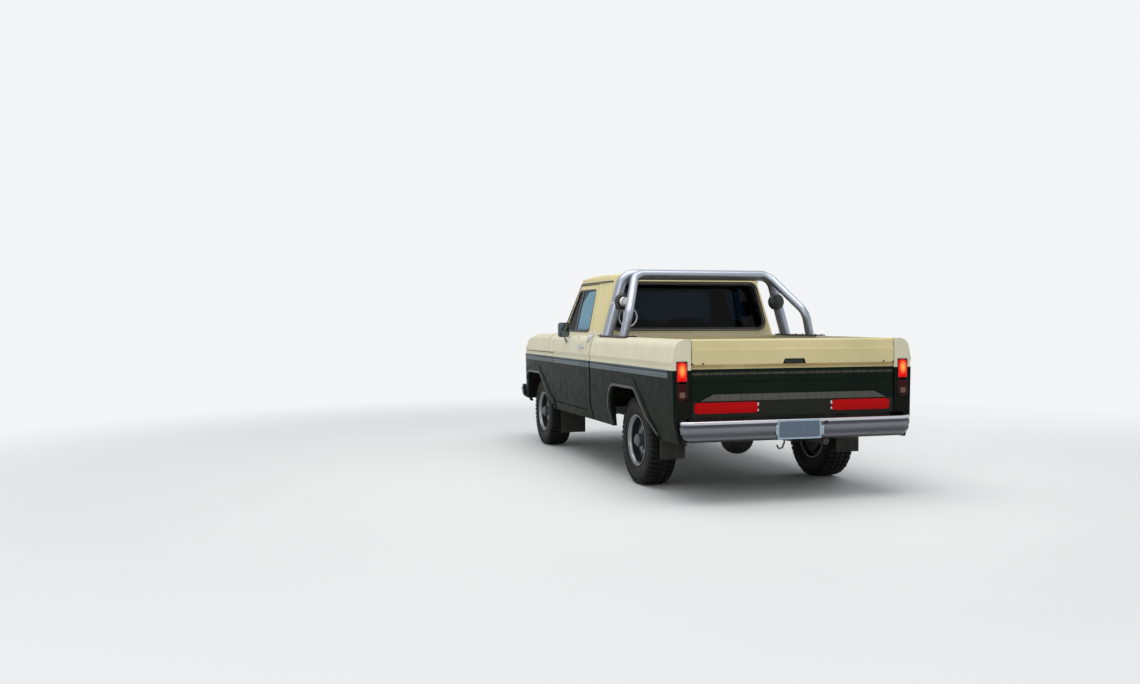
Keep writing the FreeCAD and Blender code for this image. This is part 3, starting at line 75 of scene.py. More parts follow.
def camera_axes():
    """Ahead, right and up of the camera."""
    ahead = Vector((math.cos(CAMERA_YAW) * math.cos(CAMERA_PITCH), math.sin(CAMERA_YAW) * math.cos(CAMERA_PITCH),
                    math.sin(CAMERA_PITCH)))
    level = Vector((math.sin(CAMERA_YAW), -math.cos(CAMERA_YAW), 0.0))
    up = level.cross(ahead)
    right = level * math.cos(CAMERA_ROLL) + up * math.sin(CAMERA_ROLL)
    return ahead, right, up * math.cos(CAMERA_ROLL) - level * math.sin(CAMERA_ROLL)


# Shader building

class Term:
    """Value in a node tree; arithmetic on it adds math nodes."""

    def __init__(self, tree, socket):
        self.tree = tree
        self.socket = socket

    def maths(self, kind, first, second=0.0):
        node = add(self.tree, "Math", {0: first, 1: second}, operation=kind)
        return Term(self.tree, node.outputs[0])

    def __add__(self, other):
        return self.maths("ADD", self, other)

    def __sub__(self, other):
        return self.maths("SUBTRACT", self, other)

    def __rsub__(self, other):
        return self.maths("SUBTRACT", other, self)

    def __mul__(self, other):
        return self.maths("MULTIPLY", self, other)

    def __abs__(self):
        return self.maths("ABSOLUTE", self)

    def most(self, other):
        return self.maths("MAXIMUM", self, other)

    def root(self):
        return self.maths("SQRT", self)


def feed(tree, socket, value):
    """Link a term to a socket, or set a constant on the socket itself."""
    if isinstance(value, Term):
        tree.links.new(value.socket, socket)
    else:
        socket.default_value = (*value, 1.0) if socket.type == "RGBA" else value


def add(tree, kind, inputs, **settings):
    """Shader node with its settings and its inputs' values."""
    node = tree.nodes.new("ShaderNode" + kind)
    for key, value in settings.items():
        setattr(node, key, value)
    for key, value in inputs.items():
        feed(tree, node.inputs[key], value)
    return node


def new_material(name):
    """Material, its place in object coordinates, and the three terms of that place."""
    made = bpy.data.materials.new(name)
    made.use_nodes = True
    tree = made.node_tree
    place = Term(tree, add(tree, "TexCoord", {}).outputs["Object"])
    return made, place, [Term(tree, out) for out in add(tree, "SeparateXYZ", {0: place}).outputs]


def shade(made, **inputs):
    """Inputs of the principled shader by name, with _ for a space."""
    tree = made.node_tree
    for key, value in inputs.items():
        feed(tree, tree.nodes["Principled BSDF"].inputs[key.replace("_", " ")], value)
    return made


def noise(place, scale, detail=6.0, rough=0.6, stretch=None):
    """Noise in object coordinates, with a stretch of (x, y, z) where streaks are wanted."""
    tree = place.tree
    if stretch:
        place = Term(tree, add(tree, "Mapping", {"Vector": place, "Scale": stretch}).outputs["Vector"])
    node = add(tree, "TexNoise", {"Vector": place, "Scale": scale, "Detail": detail, "Roughness": rough})
    return Term(tree, node.outputs["Fac"])


def ramp(value, low, high, out_low=0.0, out_high=1.0):
    """Value from low..high to out_low..out_high, held at the ends."""
    node = add(value.tree, "MapRange", {"Value": value, "From Min": low, "From Max": high, "To Min": out_low,
                                        "To Max": out_high}, interpolation_type="SMOOTHSTEP")
    return Term(value.tree, node.outputs["Result"])


def between(value, low, high, soft):
    """1 where a value lies between two limits."""
    return ramp(value, low - soft, low) * ramp(value, high + soft, high)


def mix(share, first, second):
    """Colour between two, where each of the three is a term or a constant."""
    tree = next(v.tree for v in (share, first, second) if isinstance(v, Term))
    node = add(tree, "Mix", {"Factor": share, "A": first, "B": second}, data_type="RGBA")
    return Term(tree, node.outputs["Result"])


def coated(colour, *coats):
    """Colour with coats of (share, tint) laid over it in turn."""
    for share, tint in coats:
        colour = mix(share, colour, tint)
    return colour


def banded(colour, value, bands, soft, most):
    """Colour with soft bands of (middle, half width, tint) where the value runs through them."""
    return coated(colour, *((ramp(abs(value - middle), half, half + soft, most, 0.0), tint)
                            for middle, half, tint in bands))


def bump(height, strength, distance=0.001):
    """Normal raised by a height."""
    node = add(height.tree, "Bump", {"Height": height, "Strength": strength, "Distance": distance})
    return Term(height.tree, node.outputs["Normal"])


def facing_up(tree):
    normal = Term(tree, add(tree, "NewGeometry", {}).outputs["Normal"])
    return Term(tree, add(tree, "SeparateXYZ", {0: normal}).outputs["Z"])


def away_from(first, second):
    """Distance of two offsets taken together."""
    return (first * first + second * second).root()


def times(colour, share):
    return tuple(c * share for c in colour)


BLACK = (0.0, 0.0, 0.0)
WHITE = (1.0, 1.0, 1.0)
DUST = (0.044, 0.039, 0.032)
CREAM = (0.72, 0.63, 0.345)
FADED_CREAM = (0.72, 0.68, 0.51)
GREEN = (0.0045, 0.0105, 0.0072)
# Near black under the body (undercoat and painted shade) and inside the cab (painted shade)
UNDERCOAT_AND_SHADE = (0.010, 0.010, 0.009)
CABIN_SHADE = (0.022, 0.022, 0.021)
SETTLED_DUST = (0.42, 0.38, 0.30)
CHIP_RUST = (0.09, 0.055, 0.035)
BAND_SOFT = 0.007
MASK_SOFT = 0.003


def road_dust(place, z, top, most):
    """Share of road dust: thick at the sill, streaky, and gone at the top height."""
    fall = ramp(z, SILL_Z - 0.05, top, 1.0, 0.0)
    cloud = ramp(noise(place, 3.0, 8.0, 0.65), 0.36, 0.66)
    fine = ramp(noise(place, 26.0, 5.0, 0.7), 0.35, 0.7, 0.45, 1.0)
    return fall * ((cloud * 0.5 + 0.5) * fine) * most


def under_body(x, y, z):
    """1 on the hidden side of the lower body: wheel houses, sill insides and the floor's underside."""
    wide = abs(y)
    limit = HALF_WIDTH - ramp(z, SILL_Z, 0.600, 0.064, 0.026) - ramp(x, 1.74, 2.25, 0.0, 0.045)
    outside = ramp(wide, 0.853, 0.857).most(ramp(z, 0.705, 0.700))
    return ramp(limit - wide, 0.0, MASK_SOFT) * ramp(z, 0.935, 0.930) * outside


def in_cab(x, y, z):
    """1 on the cab's inner walls and headlining: inside its sides, back, screen and crowned roof."""
    wide = abs(y)
    tall = (z - BELT_Z).most(0.0)
    share = ramp(0.868 - tall * 0.2785 - wide, 0.0, MASK_SOFT)
    for gap in (x - (tall * 0.093 - 0.325), 0.880 - tall * 0.398 - x, 1.803 - wide * wide * 0.0676 - z):
        share = share * ramp(gap, 0.0, MASK_SOFT)
    open_sky = ramp(facing_up(z.tree), -0.35, -0.25) * ramp(z, 1.685, 1.700)
    return share * (1.0 - open_sky)


def body_paint(name, cab=False, under=True):
    """Old two-tone enamel: colour by height, faded along the sides, with run marks, chips and road dust."""
    made, place, (x, y, z) = new_material(name)
    tone = ramp(noise(place, 2.2, 4.0), 0.3, 0.7)
    cream = mix(ramp(z, 1.200, 1.300), FADED_CREAM, CREAM)
    pale = mix(tone, mix(0.93, BLACK, cream), mix(0.99, WHITE, cream))
    deep = mix(tone, times(GREEN, 0.85), times(GREEN, 1.2))
    runs = ramp(noise(place, 5.0, 7.0, 0.7, (7.0, 7.0, 0.35)), 0.56, 0.80, 0.0, 0.32) * ramp(z, 1.16, 1.0)
    dust = road_dust(place, z, 0.95, 0.38)
    settled = ramp(facing_up(place.tree), 0.55, 0.98, 0.0, 0.22) * ramp(noise(place, 7.0, 8.0, 0.7), 0.4, 0.75)
    chips = ramp(noise(place, 95.0, 3.0, 0.6), 0.735, 0.76, 0.0, 0.7)
    colour = coated(mix(ramp(z, SPLIT_Z - 0.0015, SPLIT_Z + 0.0015), deep, pale), (runs, DUST), (dust, DUST),
                    (settled, SETTLED_DUST), (chips, CHIP_RUST))
    if under:
        # Near-black undercoat on the hidden side of the lower body, which also serves as painted shade in the wheel
        # houses
        colour = mix(under_body(x, y, z), colour, UNDERCOAT_AND_SHADE)
    if cab:
        # Inside the cab the paint turns near black: painted shade of the closed cab
        colour = mix(in_cab(x, y, z), colour, CABIN_SHADE)
    return shade(made, Base_Color=colour, Specular_IOR_Level=0.03,
                 Roughness=ramp(noise(place, 11.0, 6.0), 0.3, 0.75, 0.3, 0.44) + dust * 0.45,
                 Normal=bump(noise(place, 240.0, 3.0), 0.035, 0.0006))


def gate_paint():
    """Tailgate enamel: painted shade in the recess, under the top ridge and in a groove, a dusty line under the lip and
    dust on the sloping ledge.
    """
    made, place, (_, y, z) = new_material("paint_gate")
    tone = ramp(noise(place, 2.2, 4.0), 0.3, 0.7)
    smear = noise(place, 6.0, 6.0, 0.6, (1.0, 0.5, 1.0))
    # Brown, smeared band in the top recess: painted shade
    recess_shade = between(z, 1.003, 1.0215, 0.012) * ramp(smear, 0.3, 0.6, 0.45, 0.8)
    # Below the top ridge the cream turns tan: painted shade
    pale = coated(mix(tone, times(CREAM, 0.93), times(CREAM, 1.04)), (recess_shade, (0.34, 0.235, 0.085)),
                  (ramp(z, 1.135, 1.12, 0.0, 0.16), (0.50, 0.41, 0.22)))
    streak = noise(place, 5.0, 8.0, 0.7, (1.0, 9.0, 0.25))
    line = between(z, 0.952, 0.962, 0.008) * ramp(streak, 0.35, 0.65, 0.25, 0.75)
    # Near-black line in the groove: painted shade
    groove = between(z, 0.893, 0.900, 0.006) * 0.8
    slope = abs(y) + (z - 0.745) * 2.1
    ledge = between(z, 0.756, 0.803, 0.003) * ramp(slope, 0.802, 0.796) * ramp(streak, 0.3, 0.7, 0.55, 0.95)
    haze = ramp(streak, 0.50, 0.75, 0.0, 0.16) * ramp(z, 0.64, 0.98)
    deep = coated(mix(tone, times(GREEN, 0.8), times(GREEN, 1.2)), (groove, (0.003, 0.004, 0.004)), (haze, DUST),
                  (line, (0.105, 0.095, 0.078)), (ramp(z, 0.765, 0.745, 0.0, 0.42), DUST),
                  (ledge, (0.125, 0.122, 0.108)))
    return shade(made, Base_Color=mix(ramp(z, 0.9905, 0.9935), deep, pale), Specular_IOR_Level=0.06,
                 Roughness=ramp(tone, 0.0, 1.0, 0.30, 0.40) + ledge.most(line).most(haze) * 0.4,
                 Normal=bump(noise(place, 240.0, 3.0), 0.035, 0.0006))


# Painted reflections in bands down the bumper's chrome, and painted highlights and shade in rings of a pressed wheel
# from its axle, as (middle, half width, tint)
BUMPER_REFLECTIONS = ((0.603, 0.009, (0.62, 0.63, 0.66)), (0.577, 0.006, (0.060, 0.064, 0.080)),
                (0.548, 0.010, (0.19, 0.20, 0.22)), (0.509, 0.010, (0.080, 0.085, 0.100)),
                (0.484, 0.006, (0.17, 0.175, 0.19)), (0.464, 0.007, (0.055, 0.055, 0.055)))
WHEEL_HIGHLIGHTS_AND_SHADE = ((0.2005, 0.0060, (0.36, 0.37, 0.39)), (0.1840, 0.0070, (0.030, 0.031, 0.034)),
               (0.1640, 0.0070, (0.27, 0.28, 0.30)), (0.1280, 0.0150, (0.045, 0.047, 0.052)),
               (0.0900, 0.0080, (0.19, 0.20, 0.22)))


def bumper_material():
    """Old chrome with painted reflections: a painted highlight on its rolled top edge, painted shade in its grooves,
    and dust low down.
    """
    made, place, (_, _, z) = new_material("chrome_bumper")
    film = noise(place, 9.0, 7.0, 0.65, (1.0, 0.4, 2.5))
    # Painted reflections: bands lighter and darker by height down the chrome
    colour = banded(mix(ramp(film, 0.3, 0.7), (0.115, 0.12, 0.135), (0.155, 0.16, 0.175)), z, BUMPER_REFLECTIONS,
                    BAND_SOFT, 0.85)
    pits = ramp(noise(place, 160.0, 3.0, 0.6), 0.66, 0.72, 0.0, 0.6)
    dirt = pits.most(ramp(film, 0.45, 0.75, 0.05, 0.35) * ramp(z, 0.56, 0.46))
    return shade(made, Base_Color=mix(dirt, colour, DUST), Metallic=1.0 - dirt,
                 Roughness=ramp(film, 0.3, 0.75, 0.09, 0.24), Normal=bump(noise(place, 26.0, 3.0), 0.03, 0.002))


def wheel_material(end):
    """Pressed steel wheel: painted highlights on its flange and rings, painted shade in the hollows between them, and
    dust.
    """
    low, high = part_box("tyre_" + end + "_left")
    made, place, (x, _, z) = new_material("wheel_" + end)
    away = away_from(x - (low.x + high.x) / 2, z - WHEEL_R)
    film = noise(place, 30.0, 6.0, 0.65)
    # Painted highlights and shade in rings round the axle
    colour = banded(mix(ramp(film, 0.3, 0.7), (0.105, 0.11, 0.12), (0.145, 0.15, 0.165)), away, WHEEL_HIGHLIGHTS_AND_SHADE,
                    BAND_SOFT, 0.9)
    dust = ramp(film, 0.45, 0.75, 0.05, 0.35)
    return shade(made, Base_Color=mix(dust, colour, DUST), Metallic=ramp(dust, 0.05, 0.35, 0.70, 0.35),
                 Roughness=ramp(dust, 0.05, 0.35, 0.34, 0.60), Normal=bump(film, 0.05, 0.0006))


def plain(name, colour, rough, metal=0.0, vary=0.12, grain=60.0, dust=0.0, dust_top=0.9, pits=0.05, depth=0.0006):
    """One colour with mottling, uneven gloss, fine bump and, where asked, dust that is thicker low down."""
    made, place, (_, _, z) = new_material(name)
    tone = noise(place, grain, 6.0, 0.65)
    light = tuple(min(c * (1.0 + vary), 1.0) for c in colour)
    base = mix(ramp(tone, 0.3, 0.7), times(colour, 1.0 - vary), light)
    gloss = ramp(noise(place, grain / 9.0, 5.0, 0.6), 0.3, 0.7, rough * 0.82, min(rough * 1.2, 1.0))
    if dust > 0:
        layer = road_dust(place, z, dust_top, dust)
        base = mix(layer, base, DUST)
        gloss = gloss + layer * 0.4
        if metal > 0:
            metal = (1.0 - layer) * metal
    return shade(made, Base_Color=base, Roughness=gloss, Metallic=metal, Normal=bump(tone, pits, depth))


def tyre_material():
    """Tyre rubber: fine grain, and dust that stays in the grooves and on the sidewall."""
    made, place, _ = new_material("tyre_rubber")
    colour = (0.0065, 0.0065, 0.0072)
    grain = noise(place, 420.0, 4.0)
    film = ramp(noise(place, 9.0, 9.0, 0.7), 0.38, 0.72, 0.12, 0.45)
    share = film.most(ramp(noise(place, 130.0, 4.0, 0.7), 0.52, 0.72, 0.0, 0.35))
    base = mix(ramp(grain, 0.3, 0.7), times(colour, 0.8), times(colour, 1.3))
    return shade(made, Base_Color=mix(share * 0.30, base, DUST), Roughness=ramp(share, 0.0, 1.0, 0.62, 0.95),
                 Specular_IOR_Level=0.2, Normal=bump(grain, 0.18, 0.0008))


def glass_material(name, tint, dust, clear, film_colour, gleam, bend, vent=None):
    """Window glass with a tint, a film of dust and, ahead of the vent bar, a darker pane."""
    made, place, (x, _, z) = new_material(name)
    share = ramp(noise(place, 5.0, 9.0, 0.72), 0.42, 0.8, 0.0, dust) + ramp(z, 1.40, 1.24, 0.0, dust * 0.8)
    pane = tint
    if vent:
        pane = mix(ramp(x - (z - 1.25) * 0.178, 0.506, 0.510), tint, vent)
    return shade(made, Base_Color=mix(share, pane, film_colour), Roughness=share * 0.9 + 0.03,
                 Transmission_Weight=(1.0 - share) * clear, Specular_IOR_Level=gleam, IOR=bend)


def lit_lens(name, bulb, reach, warm, rim, strength):
    """Tail lamp lens that glows brightest round its bulb, at (half width, height)."""
    made, place, (_, y, z) = new_material(name)
    away = away_from((abs(y) - bulb[0]) * 1.7, z - bulb[1])
    cells = ramp(noise(place, 150.0, 2.0), 0.35, 0.65, 0.85, 1.0)
    return shade(made, Emission_Color=mix(ramp(away, reach, 0.0) * cells, rim, warm), Emission_Strength=strength,
                 Base_Color=(0.30, 0.003, 0.003), Specular_IOR_Level=0.15,
                 Roughness=ramp(cells, 0.85, 1.0, 0.14, 0.24), Normal=bump(cells, 0.2, 0.0006))


def lens_material(name, colour, ribs=300.0, clear=0.0, gleam=0.5, glow=None):
    """Moulded lamp lens with fine ribs; glow is (colour, strength)."""
    made, place, _ = new_material(name)
    wave = add(place.tree, "TexWave", {"Vector": place, "Scale": ribs, "Distortion": 0.0}, wave_type="BANDS",
               bands_direction="Z")
    cells = ramp(noise(place, 60.0, 3.0), 0.3, 0.7)
    if glow:
        shade(made, Emission_Color=glow[0], Emission_Strength=glow[1])
    return shade(made, Base_Color=mix(cells, times(colour, 0.85), colour), Roughness=0.16,
                 Transmission_Weight=clear, Specular_IOR_Level=gleam,
                 Normal=bump(Term(place.tree, wave.outputs["Fac"]), 0.25, 0.0008))


def moulding_material():
    """Side moulding: dark upper insert, thin painted highlights along its ribs and a pale lower insert."""
    made, place, (_, _, z) = new_material("moulding_bright")
    colour = mix(ramp(z, 0.9610, 0.9620), (0.105, 0.138, 0.148), (0.020, 0.038, 0.050))
    # Bright lines on the two ribs: painted highlights
    rib_highlights = [ramp(abs(z - middle), half - 0.0006, half + 0.0006, 1.0, 0.0)
             for middle, half in ((0.9590, 0.0022), (0.9835, 0.0025))]
    film = ramp(noise(place, 3.0, 5.0, 0.6), 0.40, 0.75, 0.0, 0.07)
    return shade(made, Base_Color=coated(colour, (rib_highlights[0].most(rib_highlights[1]), (0.17, 0.21, 0.225)), (film, DUST)),
                 Specular_IOR_Level=0.10, Roughness=ramp(film, 0.0, 0.07, 0.40, 0.5))


def bed_paint():
    """Load floor: green paint scraped to bare steel along the ribs, with dust in the hollows."""
    made, place, (_, _, z) = new_material("bed_paint")
    scrapes = ramp(noise(place, 9.0, 9.0, 0.75, (0.45, 4.0, 1.0)), 0.50, 0.64) * ramp(z, 0.9, 0.70, 0.05, 0.85)
    steel = mix(ramp(noise(place, 6.0, 9.0, 0.7), 0.50, 0.66), (0.17, 0.165, 0.155), (0.12, 0.055, 0.028))
    enamel = mix(ramp(z, SPLIT_Z - 0.002, SPLIT_Z + 0.002), (0.022, 0.046, 0.034), CREAM)
    dust = ramp(noise(place, 4.0, 8.0, 0.7), 0.35, 0.7) * ramp(z, 1.1, 0.69, 0.05, 0.75)
    return shade(made, Base_Color=coated(enamel, (scrapes, steel), (dust, (0.23, 0.20, 0.155))),
                 Roughness=ramp(dust, 0.0, 0.7, 0.42, 0.9), Normal=bump(noise(place, 120.0, 5.0), 0.25, 0.001))


def vinyl_material(name, colour, grain, rough):
    """Grained vinyl with darker worn patches."""
    made, place, _ = new_material(name)
    cells = add(place.tree, "TexVoronoi", {"Vector": place, "Scale": grain}, feature="DISTANCE_TO_EDGE")
    worn = ramp(noise(place, 4.5, 7.0, 0.65), 0.35, 0.72)
    return shade(made, Base_Color=mix(worn, colour, times(colour, 0.62)),
                 Roughness=ramp(worn, 0.0, 1.0, rough, rough + 0.16),
                 Normal=bump(Term(place.tree, cells.outputs["Distance"]), 0.3, 0.0007))


# Plain finishes: name, colour, roughness, metal, variation, grain, dust, top of the dust, bump and its depth
PLAIN = (
    ("chrome_bright", (0.52, 0.53, 0.55), 0.12, 1.0, 0.05, 30.0, 0.25, 0.62, 0.02),
    ("stainless_tube", (0.33, 0.355, 0.41), 0.33, 0.92, 0.14, 140.0, 0.0, 0.9, 0.10),
    ("wheel_silver", (0.115, 0.122, 0.135), 0.36, 0.75, 0.14, 40.0, 0.30, 0.75, 0.05),
    ("rubber_black", (0.010, 0.010, 0.011), 0.5, 0.0, 0.2, 200.0),
    ("rubber_flap", (0.016, 0.015, 0.014), 0.7, 0.0, 0.25, 90.0, 0.40, 1.0, 0.2, 0.001),
    ("paint_black", (0.012, 0.012, 0.013), 0.38, 0.0, 0.2, 80.0, 0.15, 0.9, 0.1),
    ("paint_frame", (0.013, 0.012, 0.011), 0.6, 0.0, 0.3, 50.0, 0.40, 1.0, 0.3, 0.0015),
    ("steel_raw", (0.09, 0.08, 0.07), 0.55, 0.5, 0.35, 40.0, 0.45, 0.9, 0.3, 0.0015),
    ("engine_iron", (0.055, 0.06, 0.065), 0.55, 0.3, 0.3, 30.0, 0.4, 1.2, 0.3, 0.0015),
    ("plastic_black", (0.014, 0.014, 0.015), 0.42, 0.0, 0.15, 300.0),
    ("handle_black", (0.006, 0.006, 0.007), 0.42, 0.0, 0.2, 200.0),
    ("plate_face", (0.105, 0.142, 0.200), 0.42, 0.0, 0.10, 40.0, 0.10, 0.62),
    ("plate_rim", (0.34, 0.47, 0.55), 0.40, 0.0, 0.12, 60.0, 0.12, 0.62),
    ("mirror_shell", (0.105, 0.125, 0.138), 0.35, 0.0, 0.15, 90.0),
    ("mirror_glass", (0.105, 0.135, 0.155), 0.06, 1.0, 0.25, 12.0),
    # Drip rails in black: painted shade of the line under them
    ("drip_black", (0.020, 0.020, 0.018), 0.5, 0.0, 0.25, 120.0),
    ("alloy_bright", (0.72, 0.72, 0.70), 0.30, 0.8, 0.10, 60.0),
    ("steel_white", (0.66, 0.66, 0.66), 0.38, 0.0, 0.08, 60.0),
    ("dial_face", (0.006, 0.006, 0.007), 0.35, 0.0, 0.1, 200.0),
    ("engine_cover", (0.030, 0.075, 0.120), 0.42, 0.1, 0.15, 60.0, 0.25, 1.3, 0.08),
    ("paint_lip", (0.014, 0.022, 0.018), 0.42, 0.0, 0.15, 40.0, 0.45, 0.95, 0.06),
    ("bolt_dark", (0.012, 0.012, 0.012), 0.5, 0.3, 0.2, 60.0),
)
# Vinyls: name, colour, grain, roughness
VINYLS = (("dash_vinyl", (0.022, 0.022, 0.023), 700.0, 0.55), ("seat_vinyl", (0.020, 0.021, 0.024), 600.0, 0.46),
          ("piping_vinyl", (0.040, 0.041, 0.044), 700.0, 0.5))
# Glass: name, tint, dust, clearness, colour of the film, gleam, index and the vent pane's tint
# The rear pane's near-black tint and the dark vent pane stand for the cab's shade behind them: painted shade
GLASS = (("glass_rear", (0.0045, 0.0100, 0.0160), 0.02, 0.98, (0.012, 0.013, 0.014), 0.08, 1.20),
         ("glass_side", (0.25, 0.43, 0.56), 0.05, 0.96, (0.16, 0.18, 0.19), 0.2, 1.08, (0.006, 0.009, 0.010)),
         ("glass_screen", (0.66, 0.78, 0.80), 0.06, 0.96, (0.20, 0.21, 0.20), 0.3, 1.20))
# Lenses: name, colour, ribs, clearness, gleam and glow
LENSES = (("lamp_clear", (0.86, 0.88, 0.90), 120.0, 0.85),
          # The red reflectors are given a faint glow: painted glow, though no lamp is in them
          ("reflector_red", (0.40, 0.001, 0.002), 500.0, 0.0, 0.08, ((0.60, 0.001, 0.002), 0.14)),
          ("lens_dark", (0.040, 0.0015, 0.003), 300.0, 0.0, 0.12), ("lens_tan", (0.17, 0.10, 0.06), 300.0, 0.0, 0.2),
          ("lens_white", (0.80, 0.80, 0.76)), ("lens_amber", (0.75, 0.22, 0.02), 300.0, 0.2))

made_looks = [body_paint("paint_two_tone"), body_paint("paint_cab", cab=True), body_paint("paint_front", under=False),
              gate_paint(), bumper_material(), wheel_material("front"), wheel_material("rear"), tyre_material(),
              lit_lens("lens_lit", (0.9255, 0.985), 0.062, (1.0, 0.42, 0.07), (0.55, 0.004, 0.003), 1.15),
              moulding_material(), bed_paint()]
for make, rows in ((plain, PLAIN), (vinyl_material, VINYLS), (glass_material, GLASS), (lens_material, LENSES)):
    made_looks += [make(*row) for row in rows]
# A name that is taken already gets a number after a dot
looks = {made.name.split(".")[0]: made for made in made_looks}

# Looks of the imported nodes
NODE_LOOKS = {
    "paint_two_tone": "bed_side_left bed_side_right hood fender_left fender_right",
    "paint_cab": "cab_back cab_cowl cab_floor cab_roof door_left door_right",
    "paint_front": "front_panel", "paint_gate": "tailgate", "bed_paint": "bed_floor",
    "reflector_red": "tailgate_trim tail_lamps", "glass_screen": "windshield", "glass_rear": "rear_window",
    "glass_side": "door_glass_left door_glass_right", "moulding_bright": "door_trim_left door_trim_right side_trim",
    "chrome_bright": "grille bumper_front bumper_rear", "lamp_clear": "headlamps", "stainless_tube": "roll_bar",
    "paint_black": "roll_bar_feet", "plastic_black": "roll_bar_lamps steering_wheel", "rubber_flap": "mudflaps",
    "steel_raw": "exhaust springs", "engine_iron": "engine", "seat_vinyl": "seat_cushion seat_back",
    "paint_frame": "frame_rails crossmembers rear_axle front_axle knuckle_left knuckle_right",
    "dash_vinyl": "dashboard", "wheel_front": "rim_front_left rim_front_right",
    "wheel_rear": "rim_rear_left rim_rear_right",
    "tyre_rubber": "tyre_front_left tyre_front_right tyre_rear_left tyre_rear_right",
}

# Weld distance and edge angle for shading the imported nodes
WELD = 0.00002
EDGE_ANGLE = 28.0


def dress(name, look):
    """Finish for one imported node, with smooth shading broken at its real edges."""
    piece = nodes[name]
    piece.data.materials.clear()
    piece.data.materials.append(looks[look])
    piece.data.polygons.foreach_set("use_smooth", [True] * len(piece.data.polygons))
    piece.modifiers.new("weld", "WELD").merge_threshold = WELD
    sharp = piece.modifiers.new("edges", "EDGE_SPLIT")
    sharp.split_angle = math.radians(EDGE_ANGLE)
    sharp.use_edge_sharp = False


for look, worn in NODE_LOOKS.items():
    for name in worn.split():
        dress(name, look)


# Mesh building

@contextmanager
def piece(name, look, body="chassis", angle=32.0, side=1, slot=None, replaced=None):
    """Piece from a form filled under the with line: mirrored for the right side, smooth but for real edges."""
    form = bmesh.new()
    yield form
    if side < 0:
        bmesh.ops.scale(form, vec=(1, -1, 1), verts=form.verts)
        bmesh.ops.reverse_faces(form, faces=form.faces)
    bmesh.ops.remove_doubles(form, verts=form.verts, dist=0.00001)
    bmesh.ops.dissolve_degenerate(form, edges=form.edges, dist=0.000005)
    bmesh.ops.recalc_face_normals(form, faces=form.faces)
    mesh = bpy.data.meshes.new(name)
    form.to_mesh(mesh)
    form.free()
    mesh.shade_smooth()
    mesh.set_sharp_from_angle(angle=math.radians(angle))
    made = bpy.data.objects.new(name, mesh)
    scene.collection.objects.link(made)
    made.data.materials.append(looks[look])
    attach(made, body)
    if replaced:
        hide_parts(replaced)


def shares(count):
    """Evenly spaced shares from 0 to 1."""
    return [k / count for k in range(count + 1)]


def circle(steps):
    """Cosine and sine of evenly spaced turns."""
    return [(math.cos(2 * math.pi * k / steps), math.sin(2 * math.pi * k / steps)) for k in range(steps)]


def heading(path, i, closed=False):
    """Direction of a path at one of its points."""
    if closed:
        return (path[(i + 1) % len(path)] - path[i - 1]).normalized()
    return (path[min(i + 1, len(path) - 1)] - path[max(i - 1, 0)]).normalized()


def skin(form, rows, around=True, along=False):
    """Faces between rows of points; around closes each row, along joins the last row to the first."""
    made = [[form.verts.new(p) for p in row] for row in rows]
    count = len(made[0])
    for i in range(len(made) if along else len(made) - 1):
        here = made[i]
        there = made[(i + 1) % len(made)]
        for k in range(count if around else count - 1):
            j = (k + 1) % count
            form.faces.new((here[k], there[k], there[j], here[j]))
    return made


def capped(form, rows):
    """Closed tube of rows with flat ends."""
    made = skin(form, rows)
    form.faces.new(made[0])
    form.faces.new(list(reversed(made[-1])))


def lathe(form, profile, centre, axis=(1, 0, 0), steps=40):
    """Profile of (place along the axis, radius) pairs turned about the axis."""
    axis = Vector(axis).normalized()
    across = axis.orthogonal().normalized()
    third = axis.cross(across)
    skin(form, [[Vector(centre) + axis * place + (across * a + third * b) * radius for place, radius in profile]
                for a, b in circle(steps)], around=False, along=True)


def block(form, low, high, soft=0.003, steps=2, turn=None):
    """Block with rounded edges between two corners; turn is a matrix about its middle."""
    low = Vector(low)
    high = Vector(high)
    made = bmesh.ops.create_cube(form, size=1.0)["verts"]
    size = high - low
    for vert in made:
        vert.co = Vector(a * b for a, b in zip(vert.co, size))
    edges = {edge for vert in made for edge in vert.link_edges}
    if soft > 0:
        made = bmesh.ops.bevel(form, geom=list(edges), offset=min(soft, min(size) * 0.45), segments=steps, profile=0.5,
                               affect="EDGES")["verts"]
    for vert in made:
        vert.co = (turn @ vert.co if turn else vert.co) + (high + low) / 2


def blocks(form, rows):
    """Blocks from rows of (low corner, high corner, edge radius, steps)."""
    for row in rows:
        block(form, *row)


def rounded(points, steps=6):
    """Outline with arcs: points are (a, b, corner radius)."""
    made = []
    for i, (a, b, radius) in enumerate(points):
        if radius <= 0:
            made.append((a, b))
            continue
        here = Vector((a, b))
        before = (Vector(points[i - 1][:2]) - here).normalized()
        after = (Vector(points[(i + 1) % len(points)][:2]) - here).normalized()
        half = before.angle(after) / 2
        centre = here + (before + after).normalized() * (radius / math.sin(half))
        start = here + before * (radius / math.tan(half)) - centre
        end = here + after * (radius / math.tan(half)) - centre
        sweep_angle = start.angle_signed(end)
        made += [tuple(centre + Matrix.Rotation(-sweep_angle * share, 2) @ start) for share in shares(steps)]
    return made


def box_outline(y1, y2, z1, z2, corner, steps=6):
    return rounded([(y1, z1, corner), (y2, z1, corner), (y2, z2, corner), (y1, z2, corner)], steps)


def bend_path(points, radius, steps=8):
    """Path of straight runs with rounded corners."""
    made = [Vector(points[0])]
    for before, here, after in zip(points, points[1:], points[2:]):
        here = Vector(here)
        back = (Vector(before) - here).normalized()
        on = (Vector(after) - here).normalized()
        half = back.angle(on) / 2
        reach = radius / math.tan(half)
        centre = here + (back + on).normalized() * (radius / math.sin(half))
        start = here + back * reach - centre
        end = here + on * reach - centre
        made += [centre + start.slerp(end, share).normalized() * radius for share in shares(steps)]
    return made + [Vector(points[-1])]


